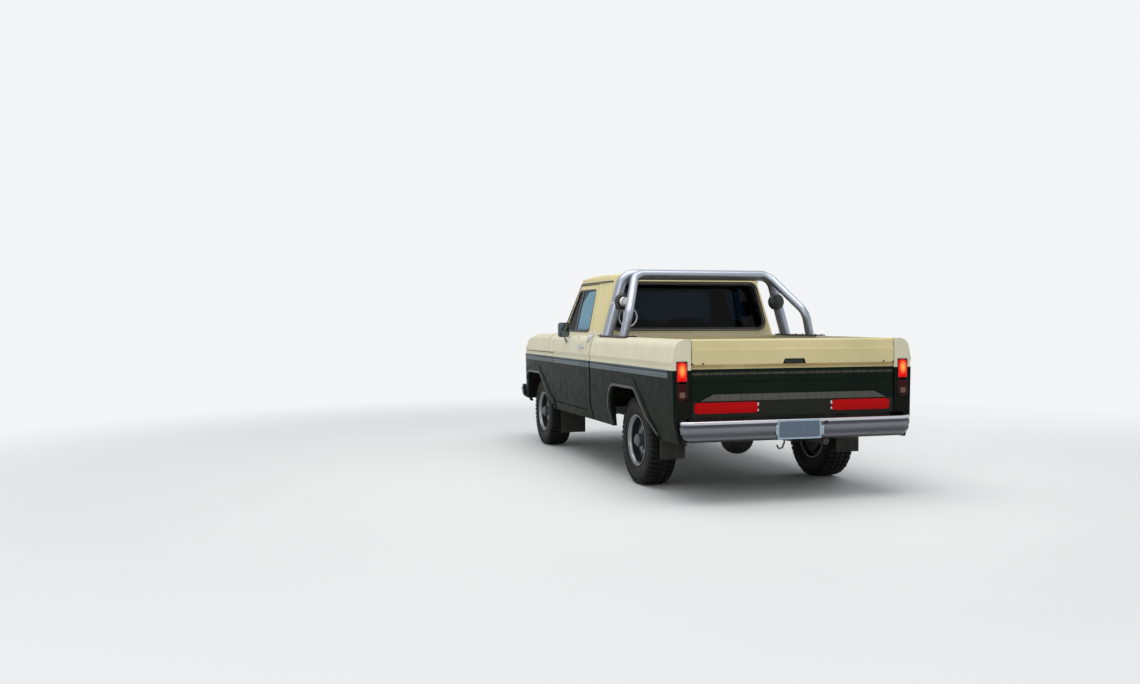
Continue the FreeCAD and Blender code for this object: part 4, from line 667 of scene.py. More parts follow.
def sweep(form, path, section, up=(0, 0, 1), closed=False):
    """Section of (side, up) points carried along a path."""
    rows = []
    for i, here in enumerate(path):
        ahead = heading(path, i, closed)
        side = ahead.cross(Vector(up)).normalized()
        high = side.cross(ahead)
        rows.append([here + side * a + high * b for a, b in section])
    if closed:
        skin(form, rows, along=True)
    else:
        capped(form, rows)


def pipe(form, path, radius, sides=12):
    """Round bar along a path, free of twist."""
    rows = []
    side = None
    for i, here in enumerate(path):
        ahead = heading(path, i)
        side = (ahead.orthogonal() if side is None else side - ahead * side.dot(ahead)).normalized()
        high = ahead.cross(side)
        rows.append([here + side * (radius * a) + high * (radius * b) for a, b in circle(sides)])
    capped(form, rows)


def surface_of(*names):
    """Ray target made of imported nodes."""
    points = []
    faces = []
    for name in names:
        start = len(points)
        points += [v.co.copy() for v in nodes[name].data.vertices]
        faces += [[start + k for k in f.vertices] for f in nodes[name].data.polygons]
    return BVHTree.FromPolygons(points, faces)


FAR_SIDE = 2.0


def side_hit(target, x, z, sign=1):
    """Point where a level line from the side meets a surface."""
    return target.ray_cast(Vector((x, sign * FAR_SIDE, z)), Vector((0.0, -sign, 0.0)))[0]


def seen_at(u, v, target):
    """Point and normal where the camera's ray through a photograph pixel meets a surface."""
    ahead, right, up = camera_axes()
    ray = (ahead + right * ((u - IMAGE_WIDE / 2) / FOCAL_PX) - up * ((v - IMAGE_HIGH / 2) / FOCAL_PX)).normalized()
    return target.ray_cast(CAMERA_AT, ray)[:2]


def spaced(corners, count):
    """Evenly spaced points round a closed outline."""
    corners = [Vector(p) for p in corners]
    lengths = [(corners[(k + 1) % len(corners)] - corners[k]).length for k in range(len(corners))]
    step = sum(lengths) / count
    made = []
    k = 0
    gone = 0.0
    for i in range(count):
        while gone + lengths[k] < i * step:
            gone += lengths[k]
            k += 1
        made.append(corners[k].lerp(corners[(k + 1) % len(corners)], (i * step - gone) / lengths[k]))
    return made


def turned_left(loop):
    """Loop of flat points, counter-clockwise."""
    loop = [Vector(p[:2]) for p in loop]
    area = sum(loop[i - 1].x * here.y - here.x * loop[i - 1].y for i, here in enumerate(loop))
    return loop[::-1] if area < 0 else loop


def grown(loop, by):
    """Loop moved outward by a distance."""
    made = []
    for i, here in enumerate(loop):
        ahead = heading(loop, i, True)
        made.append(here + Vector((ahead.y, -ahead.x)) * by)
    return made


def levelled(outline, place, levels):
    """Rows of an outline carried through (height, inset) levels; place turns (a, b, height) into a point."""
    loop = turned_left(outline)
    return [[Vector(place(p.x, p.y, h)) for p in grown(loop, -inset)] for h, inset in levels]


def dome(form, outline, place, levels):
    """Solid of an outline's levels, closed at both ends."""
    capped(form, levelled(outline, place, levels))


def tube_wall(form, outline, place, levels):
    """Frame or liner whose levels come back to the first."""
    skin(form, levelled(outline, place, levels), along=True)


# Wheels

# Half of the carcass, as (distance from the wheel's middle plane, radius)
CARCASS = [(0.0835, 0.1990), (0.0885, 0.2085), (0.0960, 0.2150), (0.1010, 0.2180), (0.1045, 0.2290), (0.1090, 0.2440),
           (0.1125, 0.2590), (0.1140, 0.2605), (0.1150, 0.2650), (0.1142, 0.2695), (0.1155, 0.2800), (0.1160, 0.2950),
           (0.1145, 0.3080), (0.1115, 0.3190), (0.1085, 0.3290), (0.1020, 0.3400), (0.0900, 0.3475), (0.0600, 0.3510),
           (0.0200, 0.3525)]
CARCASS_STEPS = 96
TREAD_PITCHES = 48
TREAD_DEEP = 0.017
LUG_LEAN = 0.22
LUG_EDGE = 0.0012
# Tread blocks as (distance from the middle plane, share of a pitch, share of the lean)
MIDDLE_LUG = ((0.005, -0.36, 0), (0.026, -0.44, 1), (0.047, -0.26, 1), (0.044, 0.28, 1), (0.020, 0.40, 0),
              (0.004, 0.22, 0))
# Shoulder blocks of even and odd pitches: reach across the tread and drop down the sidewall
SHOULDERS = ((0.107, 0.030), (0.1005, 0.018))
NUT_CIRCLE = 0.0699
NUT_COUNT = 5
NUT_SEAT = 0.0265
HUB_OUT = 0.0995
VALVE_AT = (0.0, 0.0, -0.183)
ALONG_Y = (0, 1, 0)


def wheel_point(y, radius, turn):
    return Vector((radius * math.sin(turn), y, radius * math.cos(turn)))


def tread_top(y):
    """Radius of the crowned tread at a distance from the middle plane."""
    return WHEEL_R - 0.0003 - 0.30 * max(abs(y) - 0.03, 0.0) ** 2 / 0.4


def lug(form, outline, shrink):
    """Tread block on an outline of (y, turn) corners, narrower at its face."""
    middle_y = sum(p[0] for p in outline) / len(outline)
    middle_turn = sum(p[1] for p in outline) / len(outline)

    def row(keep, radius):
        kept = [(middle_y + (y - middle_y) * keep, middle_turn + (turn - middle_turn) * keep) for y, turn in outline]
        return [wheel_point(y, radius(y), turn) for y, turn in kept]

    low = [wheel_point(y, tread_top(y) - TREAD_DEEP, turn) for y, turn in outline]
    capped(form, [low, row(shrink, lambda y: tread_top(y) - LUG_EDGE), row(shrink - 0.05, tread_top)])


def fill_tyre(form):
    """Carcass with a middle block, a shoulder block and a side lug on each side of every pitch."""
    profile = CARCASS + [(-y, r) for y, r in reversed(CARCASS)]
    skin(form, [[wheel_point(y, r, 2 * math.pi * i / CARCASS_STEPS) for y, r in profile]
                for i in range(CARCASS_STEPS)], around=False, along=True)
    pitch = 2 * math.pi / TREAD_PITCHES
    for i in range(TREAD_PITCHES):
        reach, drop = SHOULDERS[i % 2]
        for side in (1, -1):
            shift = i * pitch + (pitch / 2 if side < 0 else 0.0)
            lean = side * pitch * LUG_LEAN
            lug(form, [(side * y, shift + pitch * part + lean * keep) for y, part, keep in MIDDLE_LUG], 0.93)
            lug(form, [(side * y, shift + pitch * part + lean) for y, part in
                       ((0.055, -0.32), (0.080, -0.37), (reach, -0.33), (reach, 0.33), (0.080, 0.27), (0.053, 0.30))],
                0.94)
            rows = []
            for y, r, wide in ((0.1005, 0.3600, 0.31), (0.1110, 0.3500, 0.31), (0.1150, 0.3360, 0.29),
                               (0.1160, 0.3400 - drop, 0.25)):
                a = shift - pitch * wide + lean
                b = shift + pitch * wide + lean
                rows.append([wheel_point(side * (y - 0.012), r - 0.010, a), wheel_point(side * y, r, a),
                             wheel_point(side * y, r, b), wheel_point(side * (y - 0.012), r - 0.010, b)])
            capped(form, rows)


# Turned profiles, as (place along the axis, radius)
LUG_NUT = ((-0.004, 0.0), (-0.004, 0.0125), (0.002, 0.0125), (0.004, 0.0108), (0.018, 0.0104), (0.0225, 0.006),
           (0.0235, 0.0))
HUB_CAP = ((-0.030, 0.0), (-0.030, 0.0535), (-0.004, 0.0535), (0.001, 0.0528), (0.0175, 0.0325), (0.0183, 0.0300),
           (0.0183, 0.0))
VALVE = [(0.040, 0.0), (0.040, 0.0045), (0.070, 0.0045), (0.072, 0.0052), (0.082, 0.0052), (0.083, 0.0)]


def fill_fittings(form):
    """Five lug nuts, a hub cap and a valve."""
    for a, b in circle(NUT_COUNT):
        lathe(form, [(NUT_SEAT + out, radius) for out, radius in LUG_NUT], (NUT_CIRCLE * a, 0, NUT_CIRCLE * b),
              ALONG_Y, 6)
    lathe(form, [(HUB_OUT + out, radius) for out, radius in HUB_CAP], (0, 0, 0), ALONG_Y, 40)
    lathe(form, VALVE, VALVE_AT, ALONG_Y, 12)


def make_wheels():
    for place in ("front_left", "front_right", "rear_left", "rear_right"):
        low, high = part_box("tyre_" + place)
        turn = Matrix.Rotation(math.pi if place.endswith("right") else 0.0, 4, "Z")
        stand = Matrix.Translation((low + high) / 2) @ turn
        with piece("tread_" + place, "tyre_rubber", "wheel_" + place, 40.0, replaced="tyre_" + place) as form:
            fill_tyre(form)
            form.transform(stand)
        with piece("wheel_fittings_" + place, "wheel_silver", "wheel_" + place) as form:
            fill_fittings(form)
            form.transform(stand)


# Tail lamps

LAMP_IN = 0.883
LAMP_OUT = 0.968
LAMP_LOW = 0.758
LAMP_HIGH = 1.049
LAMP_SPLIT = 0.906
LAMP_WALL = 0.0045


def on_gate(y, z, out):
    """Point behind the body's tail."""
    return (TAIL_X - out, y, z)


# Wall profiles, as (distance out, inset from the outline)
TAIL_LENS = [(-0.043, 0.0), (0.003, 0.0), (0.0062, 0.0016), (0.0079, 0.0050), (0.0087, 0.0110), (0.0090, 0.0180)]
TAIL_RIM = [(-0.045, 0.0), (0.0035, 0.0), (0.0055, 0.0012), (0.0055, 0.0032), (0.0035, LAMP_WALL),
            (-0.045, LAMP_WALL)]
CLEAR_LENS = [(0.004, 0.0), (0.0086, 0.0), (0.0095, 0.0010), (0.0098, 0.0028)]


def make_tail_lamps():
    for name, side in SIDES:
        y1, y2 = (LAMP_IN, LAMP_OUT) if side > 0 else (-LAMP_OUT, -LAMP_IN)
        with piece("tail_lamp_rim_" + name, "handle_black", replaced="tail_lamps" if side > 0 else None) as form:
            tube_wall(form, box_outline(y1, y2, LAMP_LOW, LAMP_HIGH, 0.020, 8), on_gate, TAIL_RIM)
        for part, z1, z2, low_round, high_round in (
                ("lit", LAMP_SPLIT, LAMP_HIGH - LAMP_WALL, 0.005, 0.030),
                ("dark", LAMP_LOW + LAMP_WALL, LAMP_SPLIT - 0.0006, 0.030, 0.005)):
            a = y1 + 0.005
            b = y2 - 0.005
            with piece("tail_lens_" + part + "_" + name, "lens_" + part) as form:
                dome(form, rounded([(a, z1, low_round), (b, z1, low_round), (b, z2, high_round), (a, z2, high_round)],
                                   8), on_gate, TAIL_LENS)
        with piece("tail_lens_clear_" + name, "lens_tan") as form:
            dome(form, box_outline(y1 + 0.020, y2 - 0.020, 0.784, 0.826, 0.008), on_gate, CLEAR_LENS)


# Tailgate: handle, reflectors and plugs

HANDLE_RECESS = [(-0.088, 1.024), (0.108, 1.024), (0.092, 1.064), (-0.072, 1.064)]
HANDLE_PADDLE = [(-0.070, 1.029, 0.004), (0.090, 1.029, 0.004), (0.078, 1.0545, 0.004), (-0.060, 1.0545, 0.004)]
# Name of each reflector, its ends, its inner end and the way to the middle of the gate
REFLECTORS = (("left", 0.315, 0.825, 0.315, -1), ("right", -0.806, -0.306, -0.306, 1))
REFLECTOR_Z = 0.7035
REFLECTOR_END = 0.018
# Reflector section, as (distance out, height)
REFLECTOR_SECTION = [(-0.006, 0.663), (0.0008, 0.663), (0.0024, 0.6665), (0.0037, 0.7000), (0.0040, 0.7040),
                     (0.0032, 0.7085), (0.0020, 0.7400), (0.0008, 0.7440), (-0.006, 0.744)]
# Places in the photograph, in its pixels
GATE_PLUGS = ((692.6, 364.6), (703.0, 363.8))
DOOR_PLUGS = ((570.0, 337.0), (578.6, 337.2))
# Wall profiles, as (distance out, inset from the outline)
RECESS_WALL = [(-0.0237, 0.0004), (-0.0010, 0.0004), (-0.0004, 0.0022), (-0.0020, 0.0040), (-0.0237, 0.0030)]
PADDLE_FACE = [(-0.0215, 0.0), (-0.0085, 0.0), (-0.0065, 0.0012), (-0.0058, 0.0040), (-0.0068, 0.0085)]
# Turned profiles, as (place along the axis, radius)
GATE_PLUG = [(-0.002, 0.0), (-0.002, 0.0075), (0.0012, 0.0075), (0.0024, 0.0055), (0.0024, 0.0)]


def make_gate_trim():
    with piece("gate_handle", "handle_black", "tailgate", replaced="tailgate_trim") as form:
        tube_wall(form, HANDLE_RECESS, on_gate, RECESS_WALL)
        dome(form, HANDLE_RECESS, on_gate, [(-0.0237, 0.0005), (-0.0222, 0.0005)])
        dome(form, rounded(HANDLE_PADDLE), on_gate, PADDLE_FACE)
    for name, y1, y2, inner, step in REFLECTORS:
        with piece("reflector_" + name, "reflector_red", "tailgate") as form:
            rows = []
            for share in shares(24):
                near = min(min(share, 1 - share) * (y2 - y1), REFLECTOR_END)
                keep = 0.72 + 0.28 * math.sqrt(max(0.0, 1 - (1 - near / REFLECTOR_END) ** 2))
                rows.append([Vector(on_gate(y1 + (y2 - y1) * share, REFLECTOR_Z + (z - REFLECTOR_Z) * keep, out))
                             for out, z in REFLECTOR_SECTION])
            capped(form, rows)
        with piece("reflector_end_" + name, "lens_white", "tailgate") as form:
            for z1, z2 in ((0.672, 0.690), (0.712, 0.738)):
                dome(form, [(inner - step * 0.004, z1), (inner + step * 0.0075, z1 + 0.002),
                            (inner + step * 0.0085, z2 - 0.002), (inner - step * 0.001, z2)], on_gate,
                     [(-0.0055, 0.0), (0.0020, 0.0), (0.0028, 0.0010)])
    gate = surface_of("tailgate")
    with piece("gate_plugs", "rubber_black", "tailgate") as form:
        for u, v in GATE_PLUGS:
            spot = seen_at(u, v, gate)[0]
            for sign in (1, -1):
                lathe(form, GATE_PLUG, Vector((spot.x, sign * spot.y, spot.z)), (-1, 0, 0), 16)


# Bumpers and the blank plate

# Bumper skin, as (distance in from the face, height), from the inner top edge round to the inner bottom edge
BUMPER_SECTION = [(0.088, 0.6105), (0.036, 0.6150), (0.021, 0.6148), (0.0125, 0.6115), (0.0072, 0.6055),
                  (0.0050, 0.5980), (0.0056, 0.5900), (0.0080, 0.5830), (0.0080, 0.5730), (0.0056, 0.5650),
                  (0.0034, 0.5560), (0.0030, 0.5430), (0.0044, 0.5290), (0.0090, 0.5130), (0.0094, 0.5040),
                  (0.0086, 0.4960), (0.0110, 0.4820), (0.0175, 0.4690), (0.0270, 0.4605), (0.0400, 0.4575)]
BUMPER_WALL = 0.0032
BUMPER_LOW = 0.457
BUMPER_TOP = 0.616
BUMPER_END = 0.085
# Name, face, way out, half width, bottom, top, depth and the frame's end behind each bumper
BUMPERS = (("rear", REAR_END, -1, 0.962, 0.457, 0.616, 0.090, -2.3415),
           ("front", FRONT_END, 1, 0.960, 0.450, 0.620, 0.110, 2.3105))


def bumper_path(face, half, sign, depth):
    back = face - sign * depth
    points = [(back, half, 0.0), (face - sign * 0.030, half, 0.0), (face, half - BUMPER_END, 0.0),
              (face, -half + BUMPER_END, 0.0), (face - sign * 0.030, -half, 0.0), (back, -half, 0.0)]
    made = []
    for first, radius in enumerate((0.030, 0.110, 0.110, 0.030)):
        made += bend_path(points[first:first + 3], radius, 7)[1:-1]
    face_run = [Vector((face, y * (half - 0.2) / 8, 0.0)) for y in range(8, -9, -1)]
    count = len(made) // 2
    return [Vector(points[0])] + made[:count] + face_run + made[count:] + [Vector(points[-1])]


# Bumper brackets, as (inset, bottom, top), and the bolts on the bumper's top
BRACKET_Y = (-0.47, 0.41)
BRACKET_WALLS = ((0.0, 0.500, 0.506), (0.0, 0.574, 0.580), (0.052, 0.500, 0.580))
TOP_BOLT_Y = (-0.78, -0.44, 0.44, 0.78)
TOP_BOLT = [(-0.004, 0.0), (-0.004, 0.0095), (0.0005, 0.0095), (0.0020, 0.0060), (0.0022, 0.0)]


def make_bumpers():
    inner = [(d + BUMPER_WALL, z + (0.0 if z > 0.60 else 0.0015) - (BUMPER_WALL if z > 0.605 else 0.0))
             for d, z in reversed(BUMPER_SECTION)]
    for name, face, sign, half, low, high, depth, frame_end in BUMPERS:
        path = bumper_path(face, half, sign, depth)
        scale = (high - low) / (BUMPER_TOP - BUMPER_LOW)
        rows = []
        for i, here in enumerate(path):
            out = heading(path, i).cross(Vector((0, 0, 1))) * -sign
            flat = abs(out.x) <= 0.01
            if (out.y * here.y if flat else out.x * sign) < 0:
                out = -out
            edge = max(0.0, abs(here.y) - (half - BUMPER_END)) / BUMPER_END
            lift = 1.0 - 0.30 * edge ** 2.2
            rows.append([Vector((here.x, here.y, 0.0)) - out * min(d, depth)
                         + Vector((0, 0, high - (BUMPER_TOP - z) * scale * lift)) for d, z in BUMPER_SECTION + inner])
        with piece("chrome_bumper_" + name, "chrome_bumper", angle=50.0, replaced="bumper_" + name) as form:
            capped(form, rows)
        x1, x2 = sorted((face - sign * 0.012, frame_end))
        with piece("bumper_" + name + "_brackets", "steel_raw") as form:
            for y in BRACKET_Y:
                for inset, z1, z2 in BRACKET_WALLS:
                    block(form, (x1, y + inset, z1), (x2, y + 0.060, z2), 0.001, 1)
            for y in TOP_BOLT_Y:
                lathe(form, TOP_BOLT, (face - sign * 0.040, y, high - 0.0012), (0, 0, 1), 16)


PLATE_Y = (-0.166, 0.196)
PLATE_Z = (0.4640, 0.6085)
PLATE_HOLE = (-0.212, 0.5830)


def on_bumper(y, z, out):
    return (REAR_END + 0.0030 - out, y, z)


# Plate frame, and the bolts and the hole beside it
PLATE_FRAME = [(-0.0035, 0.0), (0.0022, 0.0), (0.0030, 0.0012), (0.0030, 0.0105), (0.0022, 0.0120), (0.0006, 0.0125),
               (-0.0035, 0.0100)]
PLATE_BOLT_Y = (-0.148, 0.178)
PLATE_BOLT_Z = (0.4765, 0.5960)
PLATE_BOLT = [(0.0, 0.0), (0.0, 0.0052), (0.0028, 0.0048), (0.0030, 0.0)]
HOLE_RING = [(-0.006, 0.0), (-0.006, 0.0140), (0.0010, 0.0140), (0.0012, 0.0125), (-0.001, 0.0120), (-0.001, 0.0)]


def make_plate():
    """Blank plate in its pale frame on the rear bumper, with its bolts and the round hole beside it."""
    outline = box_outline(*PLATE_Y, *PLATE_Z, 0.010)
    with piece("plate_blank", "plate_face") as form:
        dome(form, outline, on_bumper, [(-0.0030, 0.0005), (0.0010, 0.0005)])
    with piece("plate_frame", "plate_rim") as form:
        tube_wall(form, outline, on_bumper, PLATE_FRAME)
        for y1, y2, z1, z2 in ((-0.1900, -0.1560, 0.492, 0.560),
                               (PLATE_Y[1] - 0.004, PLATE_Y[1] + 0.014, 0.500, 0.575)):
            block(form, (REAR_END + 0.0006, y1, z1), (REAR_END + 0.0035, y2, z2), 0.0012)
    with piece("plate_bolts", "chrome_bright") as form:
        for y in PLATE_BOLT_Y:
            for z in PLATE_BOLT_Z:
                lathe(form, PLATE_BOLT, on_bumper(y, z, 0.0), (-1, 0, 0), 12)
    with piece("bumper_hole", "rubber_black") as form:
        lathe(form, HOLE_RING, on_bumper(*PLATE_HOLE, 0.0), (-1, 0, 0), 24)


HOOK_PATH = [(-2.405, 0.115, 0.500), (-2.425, 0.115, 0.440), (-2.420, 0.130, 0.395), (-2.400, 0.150, 0.388),
             (-2.385, 0.158, 0.412)]


# Sill blocks, as (low corner, high corner, edge radius)
SILL_BLOCKS = (((-2.3340, -0.850, 0.585), (-2.3255, 0.850, 0.655), 0.004),
               ((-2.3255, -0.850, 0.585), (-2.3000, 0.850, 0.591), 0.002),
               ((-2.3255, -0.850, 0.648), (-2.3050, 0.850, 0.654), 0.002))


def make_under_tail():
    """Tow hook under the rear bumper, and the dark pressed cross sill under the tailgate."""
    with piece("tow_hook", "steel_raw") as form:
        pipe(form, [Vector(p) for p in HOOK_PATH], 0.007, 10)
        block(form, (-2.445, 0.085, 0.455), (-2.330, 0.145, 0.470))
    with piece("bed_sill", "paint_frame") as form:
        blocks(form, SILL_BLOCKS)


# Side mouldings, door handles, mirrors, the fuel cap and plugs

# Moulding section, as (distance out from its foot line, height)
MOULDING = [(0.0, 0.9250), (0.0052, 0.9262), (0.0070, 0.9290), (0.0066, 0.9330), (0.0052, 0.9345), (0.0056, 0.9545),
            (0.0070, 0.9560), (0.0074, 0.9580), (0.0070, 0.9600), (0.0056, 0.9615), (0.0050, 0.9790), (0.0064, 0.9805),
            (0.0066, 0.9840), (0.0044, 0.9866), (0.0, 0.9870)]
MOULDING_FOOT = 0.0050
MOULDING_END = 0.006
# Strips through (x, half width of the body) stations
STRIPS = (("bed", ((-2.2915, HALF_WIDTH), (-0.3815, HALF_WIDTH))),
          ("cab", ((CAB_BACK, HALF_WIDTH), (-0.2265, HALF_WIDTH))),
          ("fender", ((0.8875, HALF_WIDTH), (1.7405, HALF_WIDTH), (2.0305, HALF_WIDTH - 0.010))),
          ("door", ((DOOR_REAR, HALF_WIDTH), (DOOR_FRONT - 0.004, HALF_WIDTH))))


def moulding_rows(stations):
    """Rows of the strip on the left side, drawn in at its ends."""
    first, start_half = stations[0]
    last, end_half = stations[-1]
    spots = [(first, start_half, 0.3), (first + MOULDING_END / 2, start_half, 0.85)]
    for (x1, h1), (x2, h2) in zip(stations, stations[1:]):
        run = [(x1 + (x2 - x1) * share, h1 + (h2 - h1) * share, 1.0) for share in shares(6)[:-1]]
        spots += [spot for spot in run if first + MOULDING_END < spot[0] < last - MOULDING_END]
    spots += [(last - MOULDING_END / 2, end_half, 0.85), (last, end_half, 0.3)]
    return [[Vector((x, half - MOULDING_FOOT + out * keep, z)) for out, z in MOULDING] for x, half, keep in spots]


def make_mouldings():
    for name, side in SIDES:
        for part, stations in STRIPS:
            body, replaced = "chassis", "side_trim" if part == "bed" and side > 0 else None
            if part == "door":
                body, replaced = "door_" + name, "door_trim_" + name
            with piece("moulding_" + part + "_" + name, "moulding_bright", body, 40.0, side, None, replaced) as form:
                capped(form, moulding_rows(stations))


HANDLE_X = (-0.1655, 0.0045)
HANDLE_Z = 1.1065
HANDLE_HALF = 0.0125
MIRROR_X = 0.3985
MIRROR_Y = (0.962, 1.080)
MIRROR_Z = (1.190, 1.335)
MIRROR_ARM = [(0.4240, 0.988, 1.1400), (0.4245, 0.998, 1.1600), (0.4245, 1.004, 1.1800), (0.4240, 1.006, 1.2000)]
MIRROR_FOOT = (0.4245, 1.142)


def on_mirror(y, z, h):
    return (MIRROR_X + h, y, z)


# Wall profiles, as (distance out, inset from the outline)
HANDLE_FOOT = [(-0.004, 0.0), (0.002, 0.0), (0.0045, 0.0035)]
# Turned profiles, as (place along the axis, radius)
HANDLE_LOCK = [(0.004, 0.0), (0.004, 0.0080), (0.0100, 0.0078), (0.0118, 0.0060), (0.0118, 0.0)]


def fill_handle(form, door):
    """Pull handle on the left door: two feet, a bowed grip and a lock button."""
    ends = ((HANDLE_X[0] + 0.016, 0.017), (HANDLE_X[1] - 0.012, 0.011))
    y1, y2 = (side_hit(door, x, HANDLE_Z).y for x, wide in ends)
    for (x, wide), y in zip(ends, (y1, y2)):
        dome(form, box_outline(x - wide, x + wide, HANDLE_Z - HANDLE_HALF, HANDLE_Z + HANDLE_HALF, 0.008),
             lambda a, b, h: (a, y + h, b), HANDLE_FOOT)
    grip = [Vector((HANDLE_X[0] + 0.010 + (HANDLE_X[1] - HANDLE_X[0] - 0.018) * share,
                    y1 + (y2 - y1) * share + 0.0035 + 0.0235 * math.sin(math.pi * share) ** 0.45, HANDLE_Z + 0.001))
            for share in shares(14)]
    sweep(form, grip, [(0.0065 * a, 0.0150 * b) for a, b in circle(14)])
    lathe(form, HANDLE_LOCK, (HANDLE_X[0] + 0.014, y1, HANDLE_Z - 0.0005), ALONG_Y, 20)


# Wall profiles, as (distance out, inset from the outline)
MIRROR_WALL = [(0.0, 0.0005), (0.0, 0.0060), (0.0050, 0.0062), (0.0050, 0.0350), (0.0400, 0.0350), (0.0405, 0.0260),
               (0.0360, 0.0120), (0.0270, 0.0040), (0.0150, 0.0008)]
MIRROR_BACK = [(0.0395, 0.0345), (0.0412, 0.0345)]
MIRROR_PANE = [(0.0060, 0.0068), (0.0022, 0.0068), (0.0018, 0.0080)]
# Turned profiles, as (place along the axis, radius)
MIRROR_MOUNT = [(-0.012, 0.0), (-0.012, 0.013), (0.006, 0.012), (0.012, 0.008), (0.013, 0.0)]


def make_door_fittings():
    door = surface_of("door_left")
    outline = box_outline(*MIRROR_Y, *MIRROR_Z, 0.026, 8)
    foot_x, foot_z = MIRROR_FOOT
    for name, side in SIDES:
        body = "door_" + name
        with piece("door_handle_" + name, "chrome_bright", body, side=side) as form:
            fill_handle(form, door)
        with piece("mirror_" + name, "mirror_shell", body, side=side) as form:
            tube_wall(form, outline, on_mirror, MIRROR_WALL)
            dome(form, outline, on_mirror, MIRROR_BACK)
            pipe(form, [Vector(p) for p in MIRROR_ARM], 0.0075)
            lathe(form, MIRROR_MOUNT, (foot_x, side_hit(door, foot_x, foot_z).y - 0.002, foot_z), (0, 0.92, 0.39), 20)
        with piece("mirror_glass_" + name, "mirror_glass", body, side=side) as form:
            dome(form, outline, on_mirror, MIRROR_PANE)


FUEL_CAP_AT = (-0.2595, 0.900, 1.146)
FUEL_CAP_AXIS = (0.0, 0.78, 0.63)
# Turned profiles, as (place along the axis, radius)
FUEL_CAP = [(0.030, 0.0), (0.030, 0.0400), (0.0690, 0.0400), (0.0710, 0.0465), (0.0740, 0.0480), (0.0800, 0.0480),
            (0.0840, 0.0462), (0.0885, 0.0380), (0.0905, 0.0250), (0.0935, 0.0225), (0.0940, 0.0)]
DOOR_PLUG = [(-0.002, 0.0), (-0.002, 0.0085), (0.0015, 0.0085), (0.0030, 0.0060), (0.0030, 0.0)]


def make_fuel_cap():
    with piece("fuel_cap", "chrome_bright") as form:
        lathe(form, FUEL_CAP, FUEL_CAP_AT, FUEL_CAP_AXIS)
    door = surface_of("door_left")
    with piece("door_plugs", "rubber_black", "door_left") as form:
        for u, v in DOOR_PLUGS:
            lathe(form, DOOR_PLUG, *seen_at(u, v, door), 16)


# Window seals, drip rails, vent bars and wipers

SEAL_FAR = 3.0
SEAL_POINTS = 120
# Seal sections, as (distance outward from the pane's edge, height off the surface)
WINDOW_SEAL = [(0.016, 0.0004), (0.015, 0.0045), (0.008, 0.0065), (-0.001, 0.0060), (-0.0105, 0.0080),
               (-0.016, 0.0060), (-0.018, 0.0006)]
WINDOW_BEAD = [(0.0155, 0.0004), (0.0165, 0.0050), (0.0200, 0.0066), (0.0240, 0.0058), (0.0275, 0.0004)]
DOOR_SEAL = [(0.006, 0.0004), (0.0055, 0.0026), (0.0, 0.0034), (-0.0095, 0.0085), (-0.013, 0.0070), (-0.0145, 0.0006)]
# Name, pane, what it lies on, the pane's two flat axes, the axis across it with its way out, body, section and look
REAR_PANE = ("rear_window", ("cab_back", "cab_roof"), (1, 2), (0, -1), "chassis")
SEALS = (("seal_rear_window", *REAR_PANE, WINDOW_SEAL, "rubber_black"),
         ("bead_rear_window", *REAR_PANE, WINDOW_BEAD, "paint_two_tone"),
         ("seal_windshield", "windshield", ("cab_cowl", "cab_roof"), (1, 2), (0, 1), "chassis", WINDOW_SEAL,
          "rubber_black"),
         *(("seal_door_" + name, "door_glass_" + name, ("door_" + name,), (0, 2), (1, side), "door_" + name, DOOR_SEAL,
            "rubber_black") for name, side in SIDES))


def make_seals():
    for name, pane, seats, (first, second), (across, side), body, section, look in SEALS:
        flat = [(v.co[first], v.co[second]) for v in nodes[pane].data.vertices]
        loop = turned_left(spaced([flat[k] for k in convex_hull_2d(flat)], SEAL_POINTS))
        target = surface_of(pane, *seats)
        inward = Vector((0.0, 0.0, 0.0))
        inward[across] = -side
        rows = []
        for by, lift in section:
            last = None
            row = []
            for spot in grown(loop, by):
                start = Vector((0.0, 0.0, 0.0))
                start[first], start[second] = spot
                start[across] = side * SEAL_FAR
                last = target.ray_cast(start, inward)[0] or last or start
                row.append(last - inward * lift)
            rows.append(row)
        with piece(name, look, body, 50.0) as form:
            skin(form, rows)


DRIP_Z = 1.7165
DRIP_REAR = -0.268
DRIP_SECTION = [(-0.004, -0.0060), (0.0085, -0.0060), (0.0105, -0.0040), (0.0105, 0.0050), (0.0085, 0.0062),
                (0.0065, 0.0045), (0.0060, -0.0020), (-0.004, -0.0020)]
PILLAR_TOP = Vector((0.7165, 0.0, 1.698))
PILLAR_LOW = Vector((0.8900, 0.0, 1.262))


def make_drip_rails():
    """Gutters over the doors that run down the windshield pillars, in black that stands for the shade line under them:
    painted shade.
    """
    shell = surface_of("cab_roof", "cab_back", "cab_cowl")
    reach = PILLAR_TOP.x - 0.012 - DRIP_REAR
    spots = [Vector((DRIP_REAR + reach * share, 0.0, DRIP_Z)) for share in shares(25)]
    path = [side_hit(shell, spot.x, spot.z) for spot in spots]
    for share in shares(12)[1:]:
        spot = PILLAR_TOP.lerp(PILLAR_LOW, share)
        hit = side_hit(shell, spot.x, spot.z)
        if hit and hit.y > 0.6:
            path.append(hit)
    path = [hit + Vector((0.0, 0.001, 0.0)) for hit in path]
    smooth = [path[0]] + [(a + b * 2 + c) / 4 for a, b, c in zip(path, path[1:], path[2:])] + [path[-1]]
    rows = []
    for i, here in enumerate(smooth):
        ahead = heading(smooth, i)
        out = (Vector((0, 1, 0)) - ahead * ahead.y).normalized()
        high = out.cross(ahead)
        if high.z + high.x < 0:
            high = -high
        rows.append([here + out * a + high * b for a, b in DRIP_SECTION])
    for name, side in SIDES:
        with piece("drip_rail_" + name, "drip_black", side=side) as form:
            capped(form, rows)


